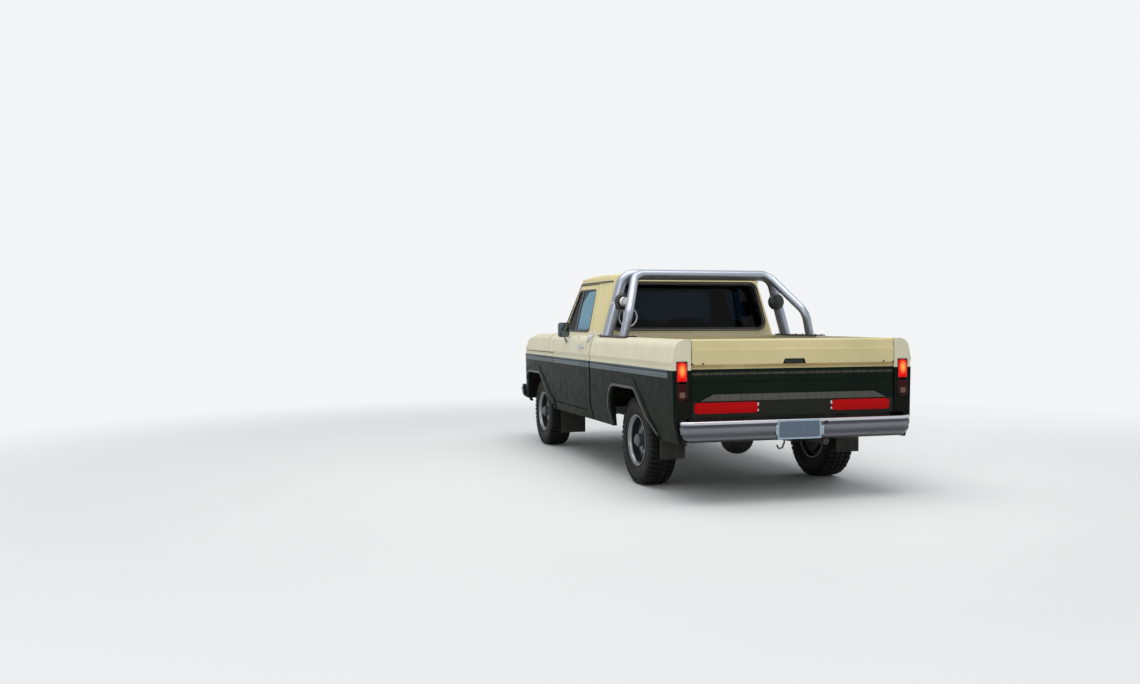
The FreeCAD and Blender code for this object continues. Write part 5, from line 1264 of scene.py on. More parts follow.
VENT_LOW = Vector((0.500, 0.0, 1.248))
VENT_HIGH = Vector((0.572, 0.0, 1.650))
VENT_POST = [(-0.006, -0.0140), (0.0030, -0.0140), (0.0050, -0.0110), (0.0050, 0.0110), (0.0030, 0.0140),
             (-0.006, 0.0140)]
VENT_EDGE = [(-0.001, -0.0030), (0.0040, -0.0024), (0.0040, 0.0024), (-0.001, 0.0030)]


def make_vent_bars():
    """Bar between the door's window and its small front pane, with a bright edge."""
    glass = surface_of("door_glass_left", "door_left")
    spots = [VENT_LOW.lerp(VENT_HIGH, share) for share in shares(12)]
    path = [side_hit(glass, spot.x, spot.z) + Vector((0.0, 0.0005, 0.0)) for spot in spots]
    for name, side in SIDES:
        for part, shift, section, look in (("post", 0.0, VENT_POST, "rubber_black"),
                                           ("edge", 0.0165, VENT_EDGE, "chrome_bright")):
            with piece("vent_" + part + "_" + name, look, "door_" + name, side=side) as form:
                sweep(form, [p + Vector((shift, 0, 0)) for p in path], section, (1, 0, 0))


# Wipers, as (y of the pivot, y of the blade's end, y of its start)
WIPERS = ((0.62, 0.12, 0.60), (-0.10, -0.62, -0.16))
WIPER_BLADE = [(-0.0025, -0.004), (0.0025, -0.004), (0.0015, 0.004), (-0.0015, 0.004)]
# Turned profiles, as (place along the axis, radius)
WIPER_PIVOT = [(-0.004, 0.0), (-0.004, 0.013), (0.010, 0.012), (0.016, 0.008), (0.017, 0.0)]


def make_wipers():
    glass = surface_of("windshield", "cab_cowl", "cab_roof")
    with piece("wipers", "plastic_black") as form:
        for pivot_y, end_y, start_y in WIPERS:
            blade = []
            for share in shares(10):
                start = Vector((3.0, start_y + (end_y - start_y) * share, 1.268 + 0.03 * share))
                hit, normal = glass.ray_cast(start, Vector((-1, 0, 0)))[:2]
                blade.append(hit + normal * 0.0040)
            sweep(form, blade, WIPER_BLADE, (1, 0, 1))
            foot = glass.ray_cast(Vector((1.030, pivot_y, 2.0)), Vector((0, 0, -1)))[0]
            middle = blade[5] + Vector((0.006, 0, 0.006))
            lathe(form, WIPER_PIVOT, foot, (0, 0, 1), 16)
            pipe(form, bend_path([foot + Vector((0, 0, 0.012)), foot.lerp(middle, 0.35) + Vector((0.004, 0, 0.024)),
                                  middle], 0.08, 5), 0.0035, 8)


# Roll bar lamps and bolts

LAMP_X = -0.6365
LAMP_Z = 1.522
# Side, way out, y, look of the back and look of the arm of each lamp on the roll bar
BAR_LAMPS = (("left", 1, 0.768, "alloy_bright", "steel_white"), ("right", -1, -0.745, "plastic_black", "plastic_black"))
ARM_END = 0.800
HOOP_X = -0.5445
HOOP_R = 0.048
RING_AT = Vector((HOOP_X, 0.690, 1.384))
RING_R = 0.086
LAMP_SHELL = [(-0.0290, 0.0), (-0.0290, 0.0400), (-0.0285, 0.0540), (-0.0240, 0.0650), (-0.0150, 0.0725),
              (0.0080, 0.0745), (0.0095, 0.0725), (0.0120, 0.0750), (0.0200, 0.0750), (0.0232, 0.0725),
              (0.0235, 0.0680), (0.0200, 0.0660), (0.0120, 0.0655), (-0.010, 0.0300), (-0.010, 0.0)]
LAMP_LENS = [(0.0180, 0.0), (0.0180, 0.0655), (0.0215, 0.0640), (0.0290, 0.0520), (0.0350, 0.0300), (0.0372, 0.0)]
LAMP_BACK = [(-0.0280, 0.0), (-0.0280, 0.0420), (-0.0310, 0.0415), (-0.0350, 0.0360), (-0.0372, 0.0220),
             (-0.0378, 0.0)]


BAND_SECTION = [(-0.0012, -0.012), (0.0012, -0.012), (0.0012, 0.012), (-0.0012, 0.012)]


def make_bar_lamps():
    """Two round lamps on clamped arms, and a ring that hangs beside the left one."""
    tube = surface_of("roll_bar")
    for name, side, y, back_look, arm_look in BAR_LAMPS:
        at = (LAMP_X, y, LAMP_Z)
        replaced = "roll_bar_lamps" if side > 0 else None
        with piece("bar_lamp_shell_" + name, "plastic_black", replaced=replaced) as form:
            lathe(form, LAMP_SHELL, at, steps=48)
        with piece("bar_lamp_lens_" + name, "lamp_clear") as form:
            lathe(form, LAMP_LENS, at, steps=48)
        with piece("bar_lamp_back_" + name, back_look) as form:
            lathe(form, LAMP_BACK, at, steps=32)
        inner = side * (abs(side_hit(tube, HOOP_X, LAMP_Z, side).y) - HOOP_R)
        y1, y2 = sorted((side * ARM_END, y))
        with piece("bar_lamp_arm_" + name, arm_look) as form:
            block(form, (LAMP_X + 0.010, y1 - 0.006, LAMP_Z - 0.013), (HOOP_X - 0.040, y2 + 0.006, LAMP_Z + 0.013))
            band = [Vector((HOOP_X + 0.0495 * a, inner + 0.0510 * b, LAMP_Z + 0.0510 * b * side * -0.30))
                    for a, b in circle(28)]
            sweep(form, band, BAND_SECTION, closed=True)
    with piece("bar_ring", "steel_white") as form:
        sweep(form, [RING_AT + Vector((0, RING_R * a, RING_R * b)) for a, b in circle(48)],
              [(0.0060 * a, 0.0060 * b) for a, b in circle(10)], (1, 0, 0), True)
        blocks(form, (((HOOP_X - 0.050, RING_AT.y + 0.050, RING_AT.z - 0.070),
                       (HOOP_X - 0.045, RING_AT.y + 0.062, LAMP_Z), 0.001),
                      ((HOOP_X - 0.050, RING_AT.y + 0.049, RING_AT.z - 0.075),
                       (HOOP_X, RING_AT.y + 0.063, RING_AT.z - 0.060), 0.001)))


FOOT_BOLTS = ((-1.160, 0.860), (-1.160, 0.919), (-0.812, 0.857), (-0.812, 0.922), (-0.455, 0.860), (-0.455, 0.919))
FOOT_TOP = 1.2210
FLAP_BOLTS = ((-1.8345, 0.862, 0.299), (-1.8345, 0.715, 0.292), (1.0585, 0.640, 0.525), (1.0585, 0.730, 0.525),
              (1.0585, 0.820, 0.525))


# Turned profiles, as (place along the axis, radius)
FOOT_BOLT = [(-0.001, 0.0), (-0.001, 0.01125), (0.0012, 0.01125), (0.0014, 0.0075), (0.006, 0.0075), (0.0068, 0.006),
             (0.007, 0.0)]
FLAP_BOLT = [(-0.001, 0.0), (-0.001, 0.0130), (0.0012, 0.0130), (0.0016, 0.0080), (0.0052, 0.0075), (0.0056, 0.0)]


def make_bolts():
    with piece("foot_bolts", "steel_raw") as form:
        for x, y in FOOT_BOLTS:
            for side in (1, -1):
                lathe(form, FOOT_BOLT, (x, side * y, FOOT_TOP), (0, 0, 1), 6)
    with piece("flap_bolts", "bolt_dark") as form:
        for x, y, z in FLAP_BOLTS:
            for side in (1, -1):
                lathe(form, FLAP_BOLT, (x, side * y, z), (-1, 0, 0), 14)


# Front end: headlamps, turn lamps and the grille's frame

PANEL_X = 2.1305
HEADLAMP_Y = 0.730
HEADLAMP_Z = 0.870
HEADLAMP_RIM = [(0.002, 0.0), (0.002, 0.0900), (0.046, 0.0915), (0.058, 0.0905), (0.066, 0.0862), (0.067, 0.0825),
                (0.062, 0.0800), (0.050, 0.0792), (0.040, 0.0740), (0.018, 0.0500), (0.010, 0.0220), (0.010, 0.0)]
HEADLAMP_LENS = [(0.050, 0.0), (0.050, 0.0790), (0.056, 0.0785), (0.065, 0.0660), (0.072, 0.0400), (0.0745, 0.0)]


def on_panel(y, z, h):
    return (PANEL_X + h, y, z)


def on_turn_seat(y, z, h):
    return on_panel(y, z, 0.045 + h)


# Wall profiles, as (distance out, inset from the outline)
TURN_RIM = [(-0.002, 0.0), (0.010, 0.0), (0.013, 0.0020), (0.013, 0.0060), (0.009, 0.0070), (-0.002, 0.0070)]
TURN_LENS = [(-0.001, 0.0), (0.010, 0.0), (0.0135, 0.0025), (0.0145, 0.0080)]
GRILLE_RIM = [(0.044, -0.012), (0.060, -0.012), (0.066, -0.006), (0.066, 0.006), (0.060, 0.012), (0.044, 0.012)]


def make_front():
    for name, side in SIDES:
        at = (PANEL_X, side * HEADLAMP_Y, HEADLAMP_Z)
        replaced = "headlamps" if side > 0 else None
        with piece("headlamp_rim_" + name, "chrome_bright", replaced=replaced) as form:
            lathe(form, HEADLAMP_RIM, at, steps=48)
        with piece("headlamp_lens_" + name, "lamp_clear", slot="headlamp") as form:
            lathe(form, HEADLAMP_LENS, at, steps=48)
        y1, y2 = sorted((side * 0.640, side * 0.820))
        with piece("turn_rim_" + name, "chrome_bright") as form:
            tube_wall(form, box_outline(y1, y2, 0.705, 0.760, 0.010), on_turn_seat, TURN_RIM)
        with piece("turn_lens_" + name, "lens_amber") as form:
            dome(form, box_outline(y1 + 0.0065, y2 - 0.0065, 0.7115, 0.7535, 0.006), on_turn_seat, TURN_LENS)
    with piece("grille_frame", "chrome_bright") as form:
        tube_wall(form, box_outline(-0.566, 0.566, 0.714, 0.991, 0.012), on_panel, GRILLE_RIM)


# Bench seat, in pads that the cloth simulation blows up

SEAT_HALF = 0.652
SECTION_SEAM = 0.222
SEAM_DEEP = 0.006
SEAT_GRAIN = 0.0145
ROUND_IN = 0.030
# Outlines of the pads from the side, as (x, z, corner radius)
CUSHION_SIDE = [(-0.0960, 0.7000, 0.012), (-0.0960, 0.8700, 0.035), (0.4060, 0.9060, 0.055), (0.4260, 0.7000, 0.020)]
BACK_SIDE = [(-0.2075, 0.7050, 0.015), (-0.2585, 1.3600, 0.035), (-0.1860, 1.3750, 0.040), (-0.1080, 0.8950, 0.030),
             (-0.1120, 0.7050, 0.015)]
PAD_CAP = 0.020
PAD_PRESSURE = 4.0
PAD_FRAMES = 20
# Front seams of the cushion, as (x, z)
CUSHION_SEAMS = ((0.402, 0.915), (0.425, 0.760))


def pad_row(loop, y, crown, seam_drop):
    """One station of a pad: three crowned sections with seams between them and rounded, drawn-in ends."""
    centre = sum(loop, Vector((0.0, 0.0))) / len(loop)
    wide = abs(y)
    middle = wide < SECTION_SEAM
    half = SECTION_SEAM if middle else (SEAT_HALF - SECTION_SEAM) / 2
    share = min(abs(wide / half if middle else (wide - (SEAT_HALF + SECTION_SEAM) / 2) / half), 1.0)
    swell = crown * (1.0 - share ** 3.0) - SEAM_DEEP * math.exp(-(abs(wide - SECTION_SEAM) / 0.010) ** 2)
    edge = max(ROUND_IN - max(SEAT_HALF - wide, 0.0), 0.0) / ROUND_IN
    inset = ROUND_IN * (1.0 - math.sqrt(max(1.0 - edge ** 2, 0.0)))
    top = max(p.y for p in loop)
    row = []
    for i, here in enumerate(loop):
        ahead = heading(loop, i, True)
        out = Vector((-ahead.y, ahead.x))
        if out.dot(here - centre) < 0:
            out = -out
        free = min(max((out.y + 0.75) / 0.5, 0.0), 1.0)
        spot = here + out * (swell * free - inset)
        high = max(1.0 - (top - here.y) / 0.16, 0.0)
        row.append(Vector((spot.x, y, spot.y - seam_drop * high * share ** 3.5)))
    return row


def swollen(pad, low_z):
    """Pad blown up by cloth pressure, held at its seams and its base, with each point's travel capped."""
    held = pad.vertex_groups.new(name="held")
    start = [vert.co.copy() for vert in pad.data.vertices]
    for k, spot in enumerate(start):
        if abs(abs(spot.y) - SECTION_SEAM) < 0.009 or spot.z < low_z + 0.022:
            held.add([k], 1.0, "REPLACE")
    cloth = pad.modifiers.new("cloth", "CLOTH")
    cloth.settings.vertex_group_mass = "held"
    cloth.settings.use_pressure = True
    cloth.settings.uniform_pressure_force = PAD_PRESSURE
    cloth.settings.effector_weights.gravity = 0.0
    cloth.settings.quality = 5
    cloth.point_cache.frame_start = 1
    cloth.point_cache.frame_end = PAD_FRAMES
    for step in range(1, PAD_FRAMES + 1):
        scene.frame_set(step)
    shape = bpy.data.meshes.new_from_object(pad.evaluated_get(bpy.context.evaluated_depsgraph_get()))
    pad.modifiers.clear()
    pad.data = shape
    for vert, first in zip(shape.vertices, start):
        travel = vert.co - first
        if travel.length > PAD_CAP:
            vert.co = first + travel.normalized() * PAD_CAP
    scene.frame_set(1)


def make_pad(name, side, replaced, crown, seam_drop, seams):
    """Padded half of the bench, with piping along its seams."""
    outline = rounded(side, 8)
    length = sum((Vector(outline[k]) - Vector(outline[k - 1])).length for k in range(len(outline)))
    loop = spaced(outline, int(length / SEAT_GRAIN))
    rows = []
    for part in shares(int(2 * SEAT_HALF / SEAT_GRAIN)):
        share = 2.0 * part - 1.0
        y = SEAT_HALF * math.copysign(1.0 - (1.0 - abs(share)) ** 1.06, share)
        rows.append(pad_row(loop, y, crown, seam_drop))
    for end, sign in ((rows[0], -1), (rows[-1], 1)):
        centre = sum(end, Vector()) / len(end)
        extra = [[centre + (p - centre) * k + Vector((0.0, sign * rise, 0.0)) for p in end]
                 for k, rise in ((0.75, 0.004), (0.45, 0.006), (0.15, 0.0065))]
        rows = [*reversed(extra), *rows] if sign < 0 else rows + extra
    with piece(name, "seat_vinyl", angle=80.0) as form:
        capped(form, rows)
    pad = bpy.data.objects[name]
    low_z = min(p[1] for p in side)
    swollen(pad, low_z)
    pad.data.shade_smooth()
    cover = BVHTree.FromPolygons([v.co for v in pad.data.vertices], [p.vertices for p in pad.data.polygons])
    smooth = pad.modifiers.new("subdivision", "SUBSURF")
    smooth.levels = 1
    smooth.render_levels = 1
    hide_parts(replaced)
    end = SEAT_HALF - 0.014
    with piece(name + "_piping", "piping_vinyl") as form:
        for x, z in seams:
            path = []
            for share in shares(60):
                near, normal = cover.find_nearest(Vector((x, end * (2.0 * share - 1.0), z)))[:2]
                path.append(near + normal * 0.001)
            pipe(form, path, 0.0042, 8)
        for seam_y in (-SECTION_SEAM, SECTION_SEAM):
            path = []
            for spot in pad_row(loop, seam_y, crown, seam_drop):
                if spot.z >= low_z + 0.035:
                    near, normal = cover.find_nearest(spot)[:2]
                    path.append(near + normal * 0.0005)
            gap = max(range(len(path)), key=lambda k: (path[k] - path[k - 1]).length)
            pipe(form, path[gap:] + path[:gap], 0.0032, 8)


# Floor rails and base under each half, as (y, half width, bottom, top, edge radius)
SEAT_RAILS = ((0.180, 0.012, 0.6035, 0.622, 0.003), (0.590, 0.012, 0.6035, 0.622, 0.003),
              (0.385, 0.205, 0.660, 0.697, 0.006))


def make_seat():
    make_pad("seat_pad", CUSHION_SIDE, "seat_cushion", 0.010, 0.010, CUSHION_SEAMS)
    make_pad("seat_back_pad", BACK_SIDE, "seat_back", 0.009, 0.050, ())
    with piece("seat_frame", "paint_black") as form:
        for sign in (1, -1):
            for x in (-0.040, 0.330):
                leg = rounded([(x - 0.030, 0.603, 0.0), (x + 0.030, 0.603, 0.0), (x + 0.018, 0.699, 0.004),
                               (x - 0.018, 0.699, 0.004)], 3)
                capped(form, [[Vector((a, sign * y, b)) for a, b in leg] for y in (0.585, 0.597)])
            for wide, half, low, high, soft in SEAT_RAILS:
                block(form, (-0.060, sign * wide - half, low), (0.353, sign * wide + half, high), soft)
    with piece("belt_buckles", "plastic_black") as form:
        for sign in (1, -1):
            block(form, (-0.088, sign * 0.235 - 0.012, 0.855), (-0.070, sign * 0.235 + 0.012, 0.925), 0.004)


# Dashboard, column, inner mirror and door cards

DASH_LOW = Vector((0.7655, 0.0, 1.020))
DASH_HIGH = Vector((0.8055, 0.0, 1.165))
DASH_UP = (DASH_HIGH - DASH_LOW).normalized()
DASH_OUT = Vector((-DASH_UP.z, 0.0, DASH_UP.x))
DASH_TURN = Matrix((DASH_OUT, (0.0, 1.0, 0.0), DASH_UP)).transposed()
# Gauges, as (y, height up the dashboard, radius)
GAUGES = ((0.452, 0.075, 0.040), (0.288, 0.075, 0.040), (0.370, 0.098, 0.020), (0.370, 0.046, 0.020))
# Air vents, as (y, width)
AIR_VENTS = ((0.655, 0.120), (-0.100, 0.080), (-0.725, 0.110))
TICKS = 11


def on_dash(y, up, out=0.0):
    return DASH_LOW + DASH_UP * up + DASH_OUT * out + Vector((0.0, y, 0.0))


def dash_blocks(form, *rows):
    """Blocks on the dashboard's face: (y, up, width, height, low and top off the face, edge radius)."""
    for y, up, wide, high, low, top, soft in rows:
        middle = on_dash(y, up, (low + top) / 2)
        half = Vector(((top - low) / 2, wide / 2, high / 2))
        block(form, middle - half, middle + half, soft, 2, DASH_TURN)


# Turned profiles, as (place along the axis, radius)
RADIO_KNOB = [(0.003, 0.0), (0.003, 0.0110), (0.018, 0.0100), (0.020, 0.0085), (0.020, 0.0)]


def make_dashboard():
    """Gauges, radio, vents, glovebox and switches on the dashboard's face."""
    with piece("dash_panels", "plastic_black") as form:
        dash_blocks(form, (0.370, 0.073, 0.300, 0.118, -0.004, 0.009, 0.010),
                    (-0.420, 0.066, 0.420, 0.104, -0.004, 0.0035, 0.006),
                    (0.020, 0.075, 0.230, 0.064, -0.004, 0.005, 0.004),
                    *((y, 0.112, wide, 0.040, -0.004, 0.006, 0.006) for y, wide in AIR_VENTS))
    with piece("dash_brightwork", "chrome_bright") as form:
        for y, up, radius in GAUGES:
            lathe(form, [(0.006, radius), (0.0135, radius), (0.0140, radius - 0.002), (0.0105, radius - 0.004),
                         (0.0095, radius - 0.004)], on_dash(y, up), DASH_OUT, 32)
        for y in (-0.085, 0.125):
            lathe(form, RADIO_KNOB, on_dash(y, 0.075), DASH_OUT, 20)
        dash_blocks(form, (-0.420, 0.101, 0.050, 0.014, 0.003, 0.012, 0.003),
                    (0.020, 0.030, 0.110, 0.018, -0.002, 0.006, 0.003))
    with piece("dash_dials", "dial_face") as form:
        for y, up, radius in GAUGES:
            lathe(form, [(0.0085, 0.0), (0.0095, 0.0), (0.0095, radius - 0.003), (0.0085, radius - 0.003)],
                  on_dash(y, up), DASH_OUT, 32)
        dash_blocks(form, *((y, 0.100 + 0.008 * k, wide - 0.016, 0.003, 0.004, 0.009, 0.001)
                            for y, wide in AIR_VENTS for k in range(4)),
                    (0.020, 0.087, 0.130, 0.018, 0.003, 0.0058, 0.001),
                    *((-0.035 + 0.0275 * k, 0.062, 0.020, 0.010, 0.003, 0.010, 0.002) for k in range(5)))
    with piece("dash_needles", "steel_white") as form:
        for y, up, radius in GAUGES:
            pipe(form, [on_dash(y, up, 0.0112), on_dash(y - radius * 0.52, up + radius * 0.42, 0.0112)], 0.0009, 6)
            for k in range(TICKS):
                turn = math.radians(-120 + 240 * k / (TICKS - 1))
                pipe(form, [on_dash(y + math.sin(turn) * radius * s, up + math.cos(turn) * radius * s, 0.0098)
                            for s in (0.72, 0.84)], 0.0007, 5)


WHEEL_AT = Vector((0.5355, 0.370, 1.150))
COLUMN_LOW = Vector((0.800, 0.370, 1.060))
# Turned profiles, as (place along the axis, radius)
SHROUD = [(-0.250, 0.0), (-0.250, 0.040), (-0.100, 0.040), (-0.060, 0.034), (-0.052, 0.030), (-0.052, 0.0)]


def make_column():
    """Column shroud and stalks behind the steering wheel."""
    axis = (WHEEL_AT - COLUMN_LOW).normalized()
    with piece("column_shroud", "plastic_black") as form:
        lathe(form, SHROUD, WHEEL_AT, axis, 28)
    base = WHEEL_AT - axis * 0.110
    with piece("column_stalks", "chrome_bright") as form:
        for sign, reach in ((1, 0.150), (-1, 0.165)):
            out = Vector((0.0, sign, 0.0))
            tip = base + out * reach + axis * 0.040
            pipe(form, bend_path([base, base + out * 0.090 + axis * 0.005, tip], 0.060, 6), 0.0045, 10)
            pipe(form, [tip - out * 0.022 - axis * 0.017, tip], 0.0085)


# Turned profiles, as (place along the axis, radius)
STEM_DISC = [(-0.001, 0.0), (-0.001, 0.018), (0.005, 0.016), (0.007, 0.0)]


def make_inner_mirror():
    """Mirror inside the cab, hung from the headlining."""
    header = surface_of("cab_roof").ray_cast(Vector((0.610, 0.0, 1.50)), Vector((0.0, 0.0, 1.0)))[0]
    low = header - Vector((-0.012, 0.0, 0.075))
    middle = low - Vector((0.008, 0.0, 0.012))
    turn = Matrix.Rotation(math.radians(-8), 3, "Z")
    for name, look, slot, back, half, soft, steps in (
            ("inner_mirror", "plastic_black", None, 0.0, (0.009, 0.120, 0.030), 0.008, 3),
            ("inner_mirror_glass", "mirror_glass", "glass", 0.0100, (0.0012, 0.112, 0.023), 0.001, 1)):
        with piece(name, look, slot=slot) as form:
            if not back:
                pipe(form, [header + Vector((0.0, 0.0, 0.0015)), low], 0.0050, 10)
                lathe(form, STEM_DISC, header, (0, 0, -1), 24)
            face = middle - Vector((back, 0.0, 0.0))
            block(form, face - Vector(half), face + Vector(half), soft, steps, turn)


CARD_Y = 0.832
CARD_OUTLINE = [(-0.165, 0.600, 0.040), (0.735, 0.600, 0.040), (0.745, 1.165, 0.030), (-0.165, 1.165, 0.030)]
CARD_MIDDLE = (0.290, 0.882)
# Card layers, as (rise off the door, share of the outline), and the armrest's section, as shares of its size
CARD_LAYERS = ((-0.0005, 1.0), (0.005, 1.0), (0.0075, 0.992), (0.0085, 0.975))
ARMREST = ((0.0, -0.9), (0.5, -1.0), (0.9, -0.5), (1.0, 0.2), (0.92, 0.8), (0.7, 1.0), (0.0, 1.0))
# Turned profiles, as (place along the axis, radius)
CRANK_HUB = [(-0.001, 0.0), (-0.001, 0.022), (0.006, 0.020), (0.020, 0.012), (0.022, 0.0)]
CRANK_KNOB = [(-0.006, 0.0), (-0.006, 0.008), (0.000, 0.012), (0.024, 0.010), (0.030, 0.0)]
LATCH_DISC = [(-0.001, 0.0), (-0.001, 0.020), (0.007, 0.017), (0.009, 0.0)]
# Raised panels of the cards, as (bottom, top)
CARD_PANELS = ((0.650, 0.790), (0.985, 1.125))


def make_door_cards():
    """Trim panels, armrests, window cranks and latch handles inside the doors."""
    outline = rounded(CARD_OUTLINE)
    mid_x, mid_z = CARD_MIDDLE
    for name, sign in SIDES:
        body = "door_" + name
        with piece("door_card_" + name, "dash_vinyl", body) as form:
            capped(form, [[Vector((mid_x + (a - mid_x) * k, sign * (CARD_Y - rise), mid_z + (b - mid_z) * k))
                           for a, b in outline] for rise, k in CARD_LAYERS])
            y = sign * (CARD_Y - 0.011)
            for low, high in CARD_PANELS:
                block(form, (-0.120, y - 0.004, low), (0.690, y + 0.004, high), 0.0035)
        with piece("armrest_" + name, "seat_vinyl", body, 60.0) as form:
            rows = []
            for share in shares(12):
                fat = 0.050 * math.sin(math.pi * min(max(share, 0.04), 0.96)) ** 0.35
                rows.append([Vector((0.020 + 0.400 * share, sign * (CARD_Y - 0.006 - fat * a), 0.915 + 0.026 * b))
                             for a, b in ARMREST])
            capped(form, rows)
        inward = Vector((0.0, -sign, 0.0))
        hub = Vector((0.470, sign * (CARD_Y - 0.007), 0.845))
        arm = hub + inward * 0.018
        end = arm + Vector((0.085, 0.0, 0.055))
        latch = Vector((0.560, sign * (CARD_Y - 0.006), 1.060))
        lift = latch + inward * 0.020
        with piece("door_cranks_" + name, "chrome_bright", body) as form:
            lathe(form, CRANK_HUB, hub, inward, 24)
            pipe(form, [arm, end], 0.0055, 10)
            lathe(form, CRANK_KNOB, end, inward, 20)
            lathe(form, LATCH_DISC, latch, inward, 24)
            pipe(form, bend_path([latch, lift, lift - Vector((0.095, 0.0, 0.004))], 0.012, 6), 0.0055, 10)


# Engine bay and running gear

ENGINE_TOP = 1.080
UPWARD = (0, 0, 1)
CLEANER_AT = Vector((1.470, 0.0, ENGINE_TOP))
FAN_AT = Vector((1.945, 0.0, 0.850))
FAN_BLADES = 5
# Fan blade, as (radius, half width)
BLADE = ((0.028, 0.022), (0.090, 0.040), (0.165, 0.048), (0.172, 0.044))
RADIATOR_FINS = 56
# Hoses, as (points, radius, sides)
HOSES = (([(1.860, -0.120, 1.075), (1.930, -0.140, 1.095), (2.010, -0.200, 1.030)], 0.019, 16),
         ([(1.860, 0.120, 0.700), (1.935, 0.190, 0.690), (2.010, 0.220, 0.640)], 0.021, 16),
         ([(1.735, -0.515, 1.018), (1.700, -0.460, 1.030), (1.600, -0.300, 1.010), (1.560, -0.235, 0.960)], 0.0055, 8))


# Turned profiles, as (place along the axis, radius)
COVER_CAP = [(0.0, 0.0), (0.0, 0.010), (0.006, 0.008), (0.010, 0.0)]
CLEANER = [(-0.002, 0.0), (-0.002, 0.060), (0.006, 0.062), (0.008, 0.098), (0.034, 0.100), (0.036, 0.094),
           (0.039, 0.094), (0.042, 0.060), (0.040, 0.0)]
CLEANER_NUT = [(0.038, 0.0), (0.040, 0.014), (0.046, 0.014), (0.050, 0.006), (0.050, 0.0)]
FAN_HUB = [(-0.045, 0.0), (-0.045, 0.050), (-0.012, 0.050), (-0.012, 0.036), (0.010, 0.034), (0.012, 0.0)]
RADIATOR_CAP = [(0.0, 0.0), (0.0, 0.024), (0.008, 0.024), (0.012, 0.018), (0.012, 0.0)]
BATTERY_POST = [(0.0, 0.0), (0.0, 0.009), (0.014, 0.008), (0.014, 0.0)]
# Radiator blocks, as (low corner, high corner, edge radius, steps)
RADIATOR_BLOCKS = (((2.005, -0.300, 0.600), (2.045, 0.300, 1.030), 0.004),
                   ((1.998, -0.310, 0.600), (2.052, 0.310, 0.640), 0.010, 3),
                   ((1.998, -0.310, 1.010), (2.052, 0.310, 1.050), 0.010, 3))


def make_engine_bay():
    """Rocker covers, air cleaner, fan, radiator, battery and hoses round the engine."""
    with piece("engine_covers", "engine_cover") as form:
        for y in (0.165, -0.165):
            block(form, (1.185, y - 0.055, ENGINE_TOP - 0.004), (1.790, y + 0.055, ENGINE_TOP + 0.030), 0.016, 3)
            for x in (1.25, 1.49, 1.73):
                lathe(form, COVER_CAP, (x, y, ENGINE_TOP + 0.029), UPWARD, 12)
        block(form, (1.895, -0.070, 0.780), (1.925, 0.070, 0.920), 0.012)
    with piece("air_cleaner", "paint_black") as form:
        lathe(form, CLEANER, CLEANER_AT, UPWARD, 48)
        lathe(form, CLEANER_NUT, CLEANER_AT, UPWARD, 16)
        pipe(form, [CLEANER_AT + Vector((0.085, 0.0, 0.020)), CLEANER_AT + Vector((0.250, 0.0, 0.016))], 0.021, 20)
    with piece("cooling_fan", "paint_black") as form:
        lathe(form, FAN_HUB, FAN_AT, steps=24)
        twist = Matrix.Rotation(math.radians(24), 3, "Z")
        for k in range(FAN_BLADES):
            turn = Matrix.Rotation(2 * math.pi * k / FAN_BLADES, 3, "X")
            capped(form, [[FAN_AT + turn @ (twist @ Vector((dx, dy * half, 0.0)) + Vector((0.0, 0.0, radius)))
                           for dx, dy in ((-0.0012, -1), (0.0012, -1), (0.0012, 1), (-0.0012, 1))]
                          for radius, half in BLADE])
    with piece("radiator", "paint_frame") as form:
        blocks(form, RADIATOR_BLOCKS)
        lathe(form, RADIATOR_CAP, (2.025, 0.180, 1.048), UPWARD, 20)
        for share in shares(RADIATOR_FINS - 1):
            y = -0.285 + 0.570 * share
            block(form, (2.0022, y - 0.0012, 0.646), (2.0478, y + 0.0012, 1.004), 0.0)
    with piece("battery", "plastic_black") as form:
        block(form, (1.690, -0.640, 0.830), (1.940, -0.480, 1.010), 0.008)
        for x in (1.735, 1.895):
            lathe(form, BATTERY_POST, (x, -0.515, 1.009), UPWARD, 14)
    with piece("battery_tray", "paint_frame") as form:
        block(form, (1.670, -0.655, 0.800), (1.960, -0.465, 0.8305))
        for x in (1.700, 1.930):
            pipe(form, [Vector((x, -0.560, 0.802)), Vector((x, -0.445, 0.640))], 0.010, 10)
    with piece("engine_hoses", "rubber_black") as form:
        for points, radius, sides in HOSES:
            pipe(form, bend_path(points, 0.030, 6), radius, sides)


SPRING_Y = 0.540
# U-bolt's path round the axle, as (y, z)
CLAMP_PATH = ((-0.040, -0.062), (-0.040, 0.075), (0.040, 0.075), (0.040, -0.062))


def make_spring_clamps():
    """U-bolts and pads that clamp the leaf springs to the rear axle."""
    low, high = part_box("tyre_rear_left")
    x = (low[0] + high[0]) / 2
    z = (low[2] + high[2]) / 2
    with piece("spring_clamps", "steel_raw") as form:
        for y in (SPRING_Y, -SPRING_Y):
            for dx in (-0.055, 0.055):
                pipe(form, bend_path([(x + dx, y + dy, z + dz) for dy, dz in CLAMP_PATH], 0.016, 5), 0.0065, 8)
            block(form, (x - 0.080, y - 0.055, z - 0.056), (x + 0.080, y + 0.055, z - 0.044))


# Wheel openings: name, panel and outline as (x from the axle, z, corner radius) from the front foot
ARCHES = (("rear", "bed_side_", [(0.432, 0.450, 0.0), (0.447, 0.800, 0.130), (-0.195, 0.800, 0.110),
                                 (-0.640, 0.470, 0.0)]),
          ("front", "fender_", [(0.440, 0.450, 0.0), (0.405, 0.788, 0.190), (-0.190, 0.788, 0.110),
                                (-0.640, 0.490, 0.0)]))
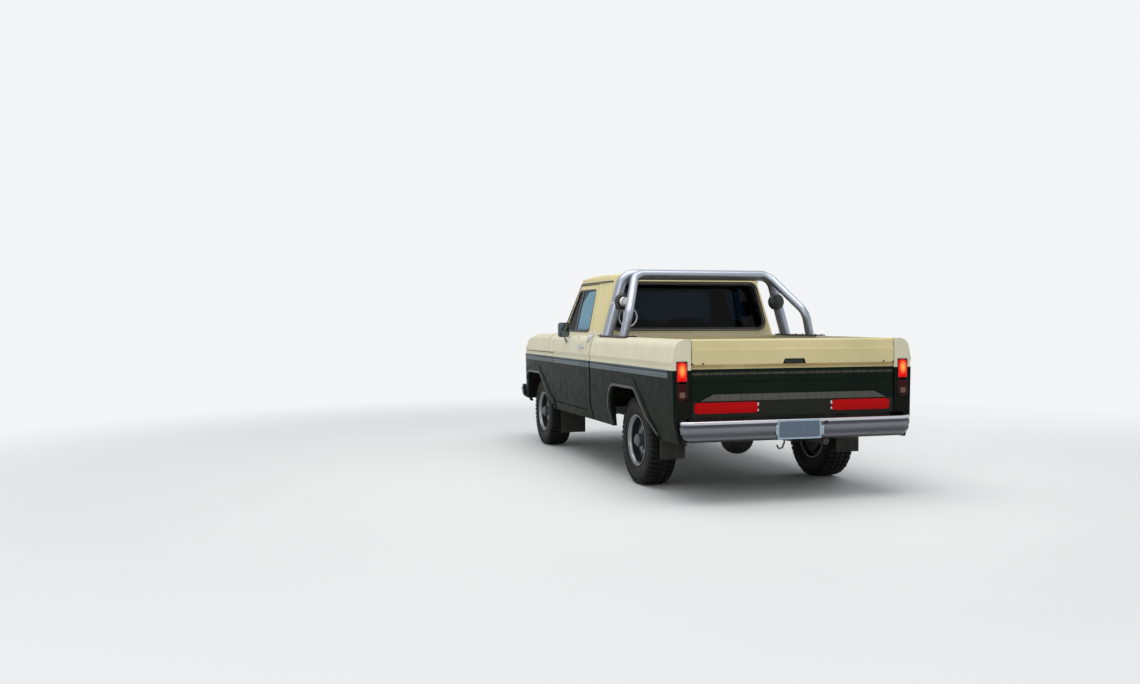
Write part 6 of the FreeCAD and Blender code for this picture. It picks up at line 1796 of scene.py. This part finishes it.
# Lip section, as (distance out from the opening, height off the panel)
LIP_ROWS = ((0.0200, 0.0005), (0.0185, 0.0034), (0.0110, 0.0050), (0.0030, 0.0052), (-0.0012, 0.0036),
            (-0.0018, -0.0160))
LIP_STEP = 0.02
LIP_SEAT = 0.004
PANEL_IN = 0.93


def lip_rows(line, target, sign):
    """Rows of a lip along an opening's line, left out where the panel's face ends."""
    rows = []
    for i, here in enumerate(line):
        ahead = heading(line, i)
        out = Vector((ahead.y, -ahead.x))
        spots = [here + out * max(distance, LIP_SEAT) for distance, height in LIP_ROWS]
        hits = [side_hit(target, spot.x, spot.y, sign) for spot in spots]
        if all(hit and abs(hit.y) >= PANEL_IN for hit in hits):
            flat = [here + out * distance for distance, height in LIP_ROWS]
            rows.append([Vector((spot.x, hit.y + sign * height, spot.y))
                         for spot, hit, (distance, height) in zip(flat, hits, LIP_ROWS)])
    return rows


def make_arch_lips():
    """Rolled lips round the wheel openings."""
    for end, panel, points in ARCHES:
        for name, sign in SIDES:
            low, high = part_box("tyre_" + end + "_" + name)
            axle_x = (low[0] + high[0]) / 2
            corners = [Vector((axle_x + a, b)) for a, b in rounded([(0.0, 0.0, 0.0), *points], 10)[1:]]
            line = []
            for here, there in zip(corners, corners[1:]):
                count = max(int((there - here).length / LIP_STEP), 1)
                line += [here.lerp(there, share) for share in shares(count)[:-1]]
            line.append(corners[-1])
            with piece("arch_lip_" + end + "_" + name, "paint_lip", angle=60.0) as form:
                capped(form, lip_rows(line, surface_of(panel + name), sign))


for make in (make_wheels, make_tail_lamps, make_gate_trim, make_bumpers, make_plate, make_under_tail, make_mouldings,
             make_door_fittings, make_fuel_cap, make_seals, make_drip_rails, make_vent_bars, make_wipers,
             make_bar_lamps, make_bolts, make_front, make_seat, make_dashboard, make_column, make_inner_mirror,
             make_door_cards, make_engine_bay, make_spring_clamps, make_arch_lips):
    make()


# Floor, light and camera

BACKDROP = (0.90, 0.91, 0.92)
FLOOR_SIZE = 120.0
FLOOR_FADE = (3.4, 9.0)
FILL_TINT = (0.94, 0.97, 1.0)
FILL_STRENGTH = 0.47
# Soft lamps: name, place, target, size, power and colour
LIGHTS = (("sky", (-1.0, 1.0, 7.5), (0.0, 0.0, 0.8), (9.0, 7.0), 470.0, WHITE),
          ("key", (-7.5, 5.5, 4.5), (-0.5, 0.0, 0.8), (4.5, 3.0), 85.0, (1.0, 0.985, 0.96)),
          ("rim", (4.0, -7.0, 4.0), (0.0, 0.0, 0.8), (5.0, 3.0), 120.0, (0.96, 0.98, 1.0)))
CLIP_END = 300.0


def make_stage():
    """Plain floor that fades into the backdrop."""
    bpy.ops.mesh.primitive_plane_add(size=FLOOR_SIZE, location=(0.0, 0.0, 0.0))
    floor = bpy.context.object
    floor.name = "floor"
    made, place, (x, y, _) = new_material("floor_pale")
    tree = made.node_tree
    shade(made, Base_Color=mix(noise(place, 0.6, 4.0), (0.77, 0.77, 0.765), (0.81, 0.81, 0.805)), Roughness=0.85,
          Specular_IOR_Level=0.1)
    far = add(tree, "Emission", {"Color": BACKDROP})
    near = tree.nodes["Principled BSDF"]
    both = add(tree, "MixShader", {0: ramp(away_from(x, y), *FLOOR_FADE), 1: Term(tree, near.outputs[0]),
                                   2: Term(tree, far.outputs[0])})
    tree.links.new(both.outputs[0], tree.nodes["Material Output"].inputs["Surface"])
    floor.data.materials.append(made)


def make_light():
    world = bpy.data.worlds.new("studio")
    scene.world = world
    world.use_nodes = True
    tree = world.node_tree
    tree.nodes.clear()
    path = add(tree, "LightPath", {}).outputs
    camera, glossy, through = (Term(tree, path["Is " + ray + " Ray"]) for ray in ("Camera", "Glossy", "Transmission"))
    fill = add(tree, "Background", {"Color": FILL_TINT, "Strength": FILL_STRENGTH})
    backdrop = add(tree, "Background", {"Color": BACKDROP, "Strength": 1.0})
    both = add(tree, "MixShader", {0: camera.most(glossy).most(through), 1: Term(tree, fill.outputs[0]),
                                   2: Term(tree, backdrop.outputs[0])})
    add(tree, "OutputWorld", {"Surface": Term(tree, both.outputs[0])})
    for name, place, target, size, power, colour in LIGHTS:
        data = bpy.data.lights.new(name, "AREA")
        data.shape = "RECTANGLE"
        data.size, data.size_y = size
        data.energy = power
        data.color = colour
        lamp = bpy.data.objects.new(name, data)
        lamp.location = place
        lamp.rotation_euler = (Vector(target) - Vector(place)).to_track_quat("-Z", "Y").to_euler()
        scene.collection.objects.link(lamp)


def make_camera():
    ahead, right, up = camera_axes()
    data = bpy.data.cameras.new("camera")
    data.sensor_fit = "HORIZONTAL"
    data.sensor_width = SENSOR
    data.lens = FOCAL_PX / IMAGE_WIDE * SENSOR
    data.clip_end = CLIP_END
    camera = bpy.data.objects.new("camera", data)
    camera.matrix_world = Matrix.Translation(CAMERA_AT) @ Matrix((right, up, -ahead)).transposed().to_4x4()
    scene.collection.objects.link(camera)
    scene.camera = camera


make_stage()
make_light()
make_camera()
scene.view_settings.view_transform = "Standard"
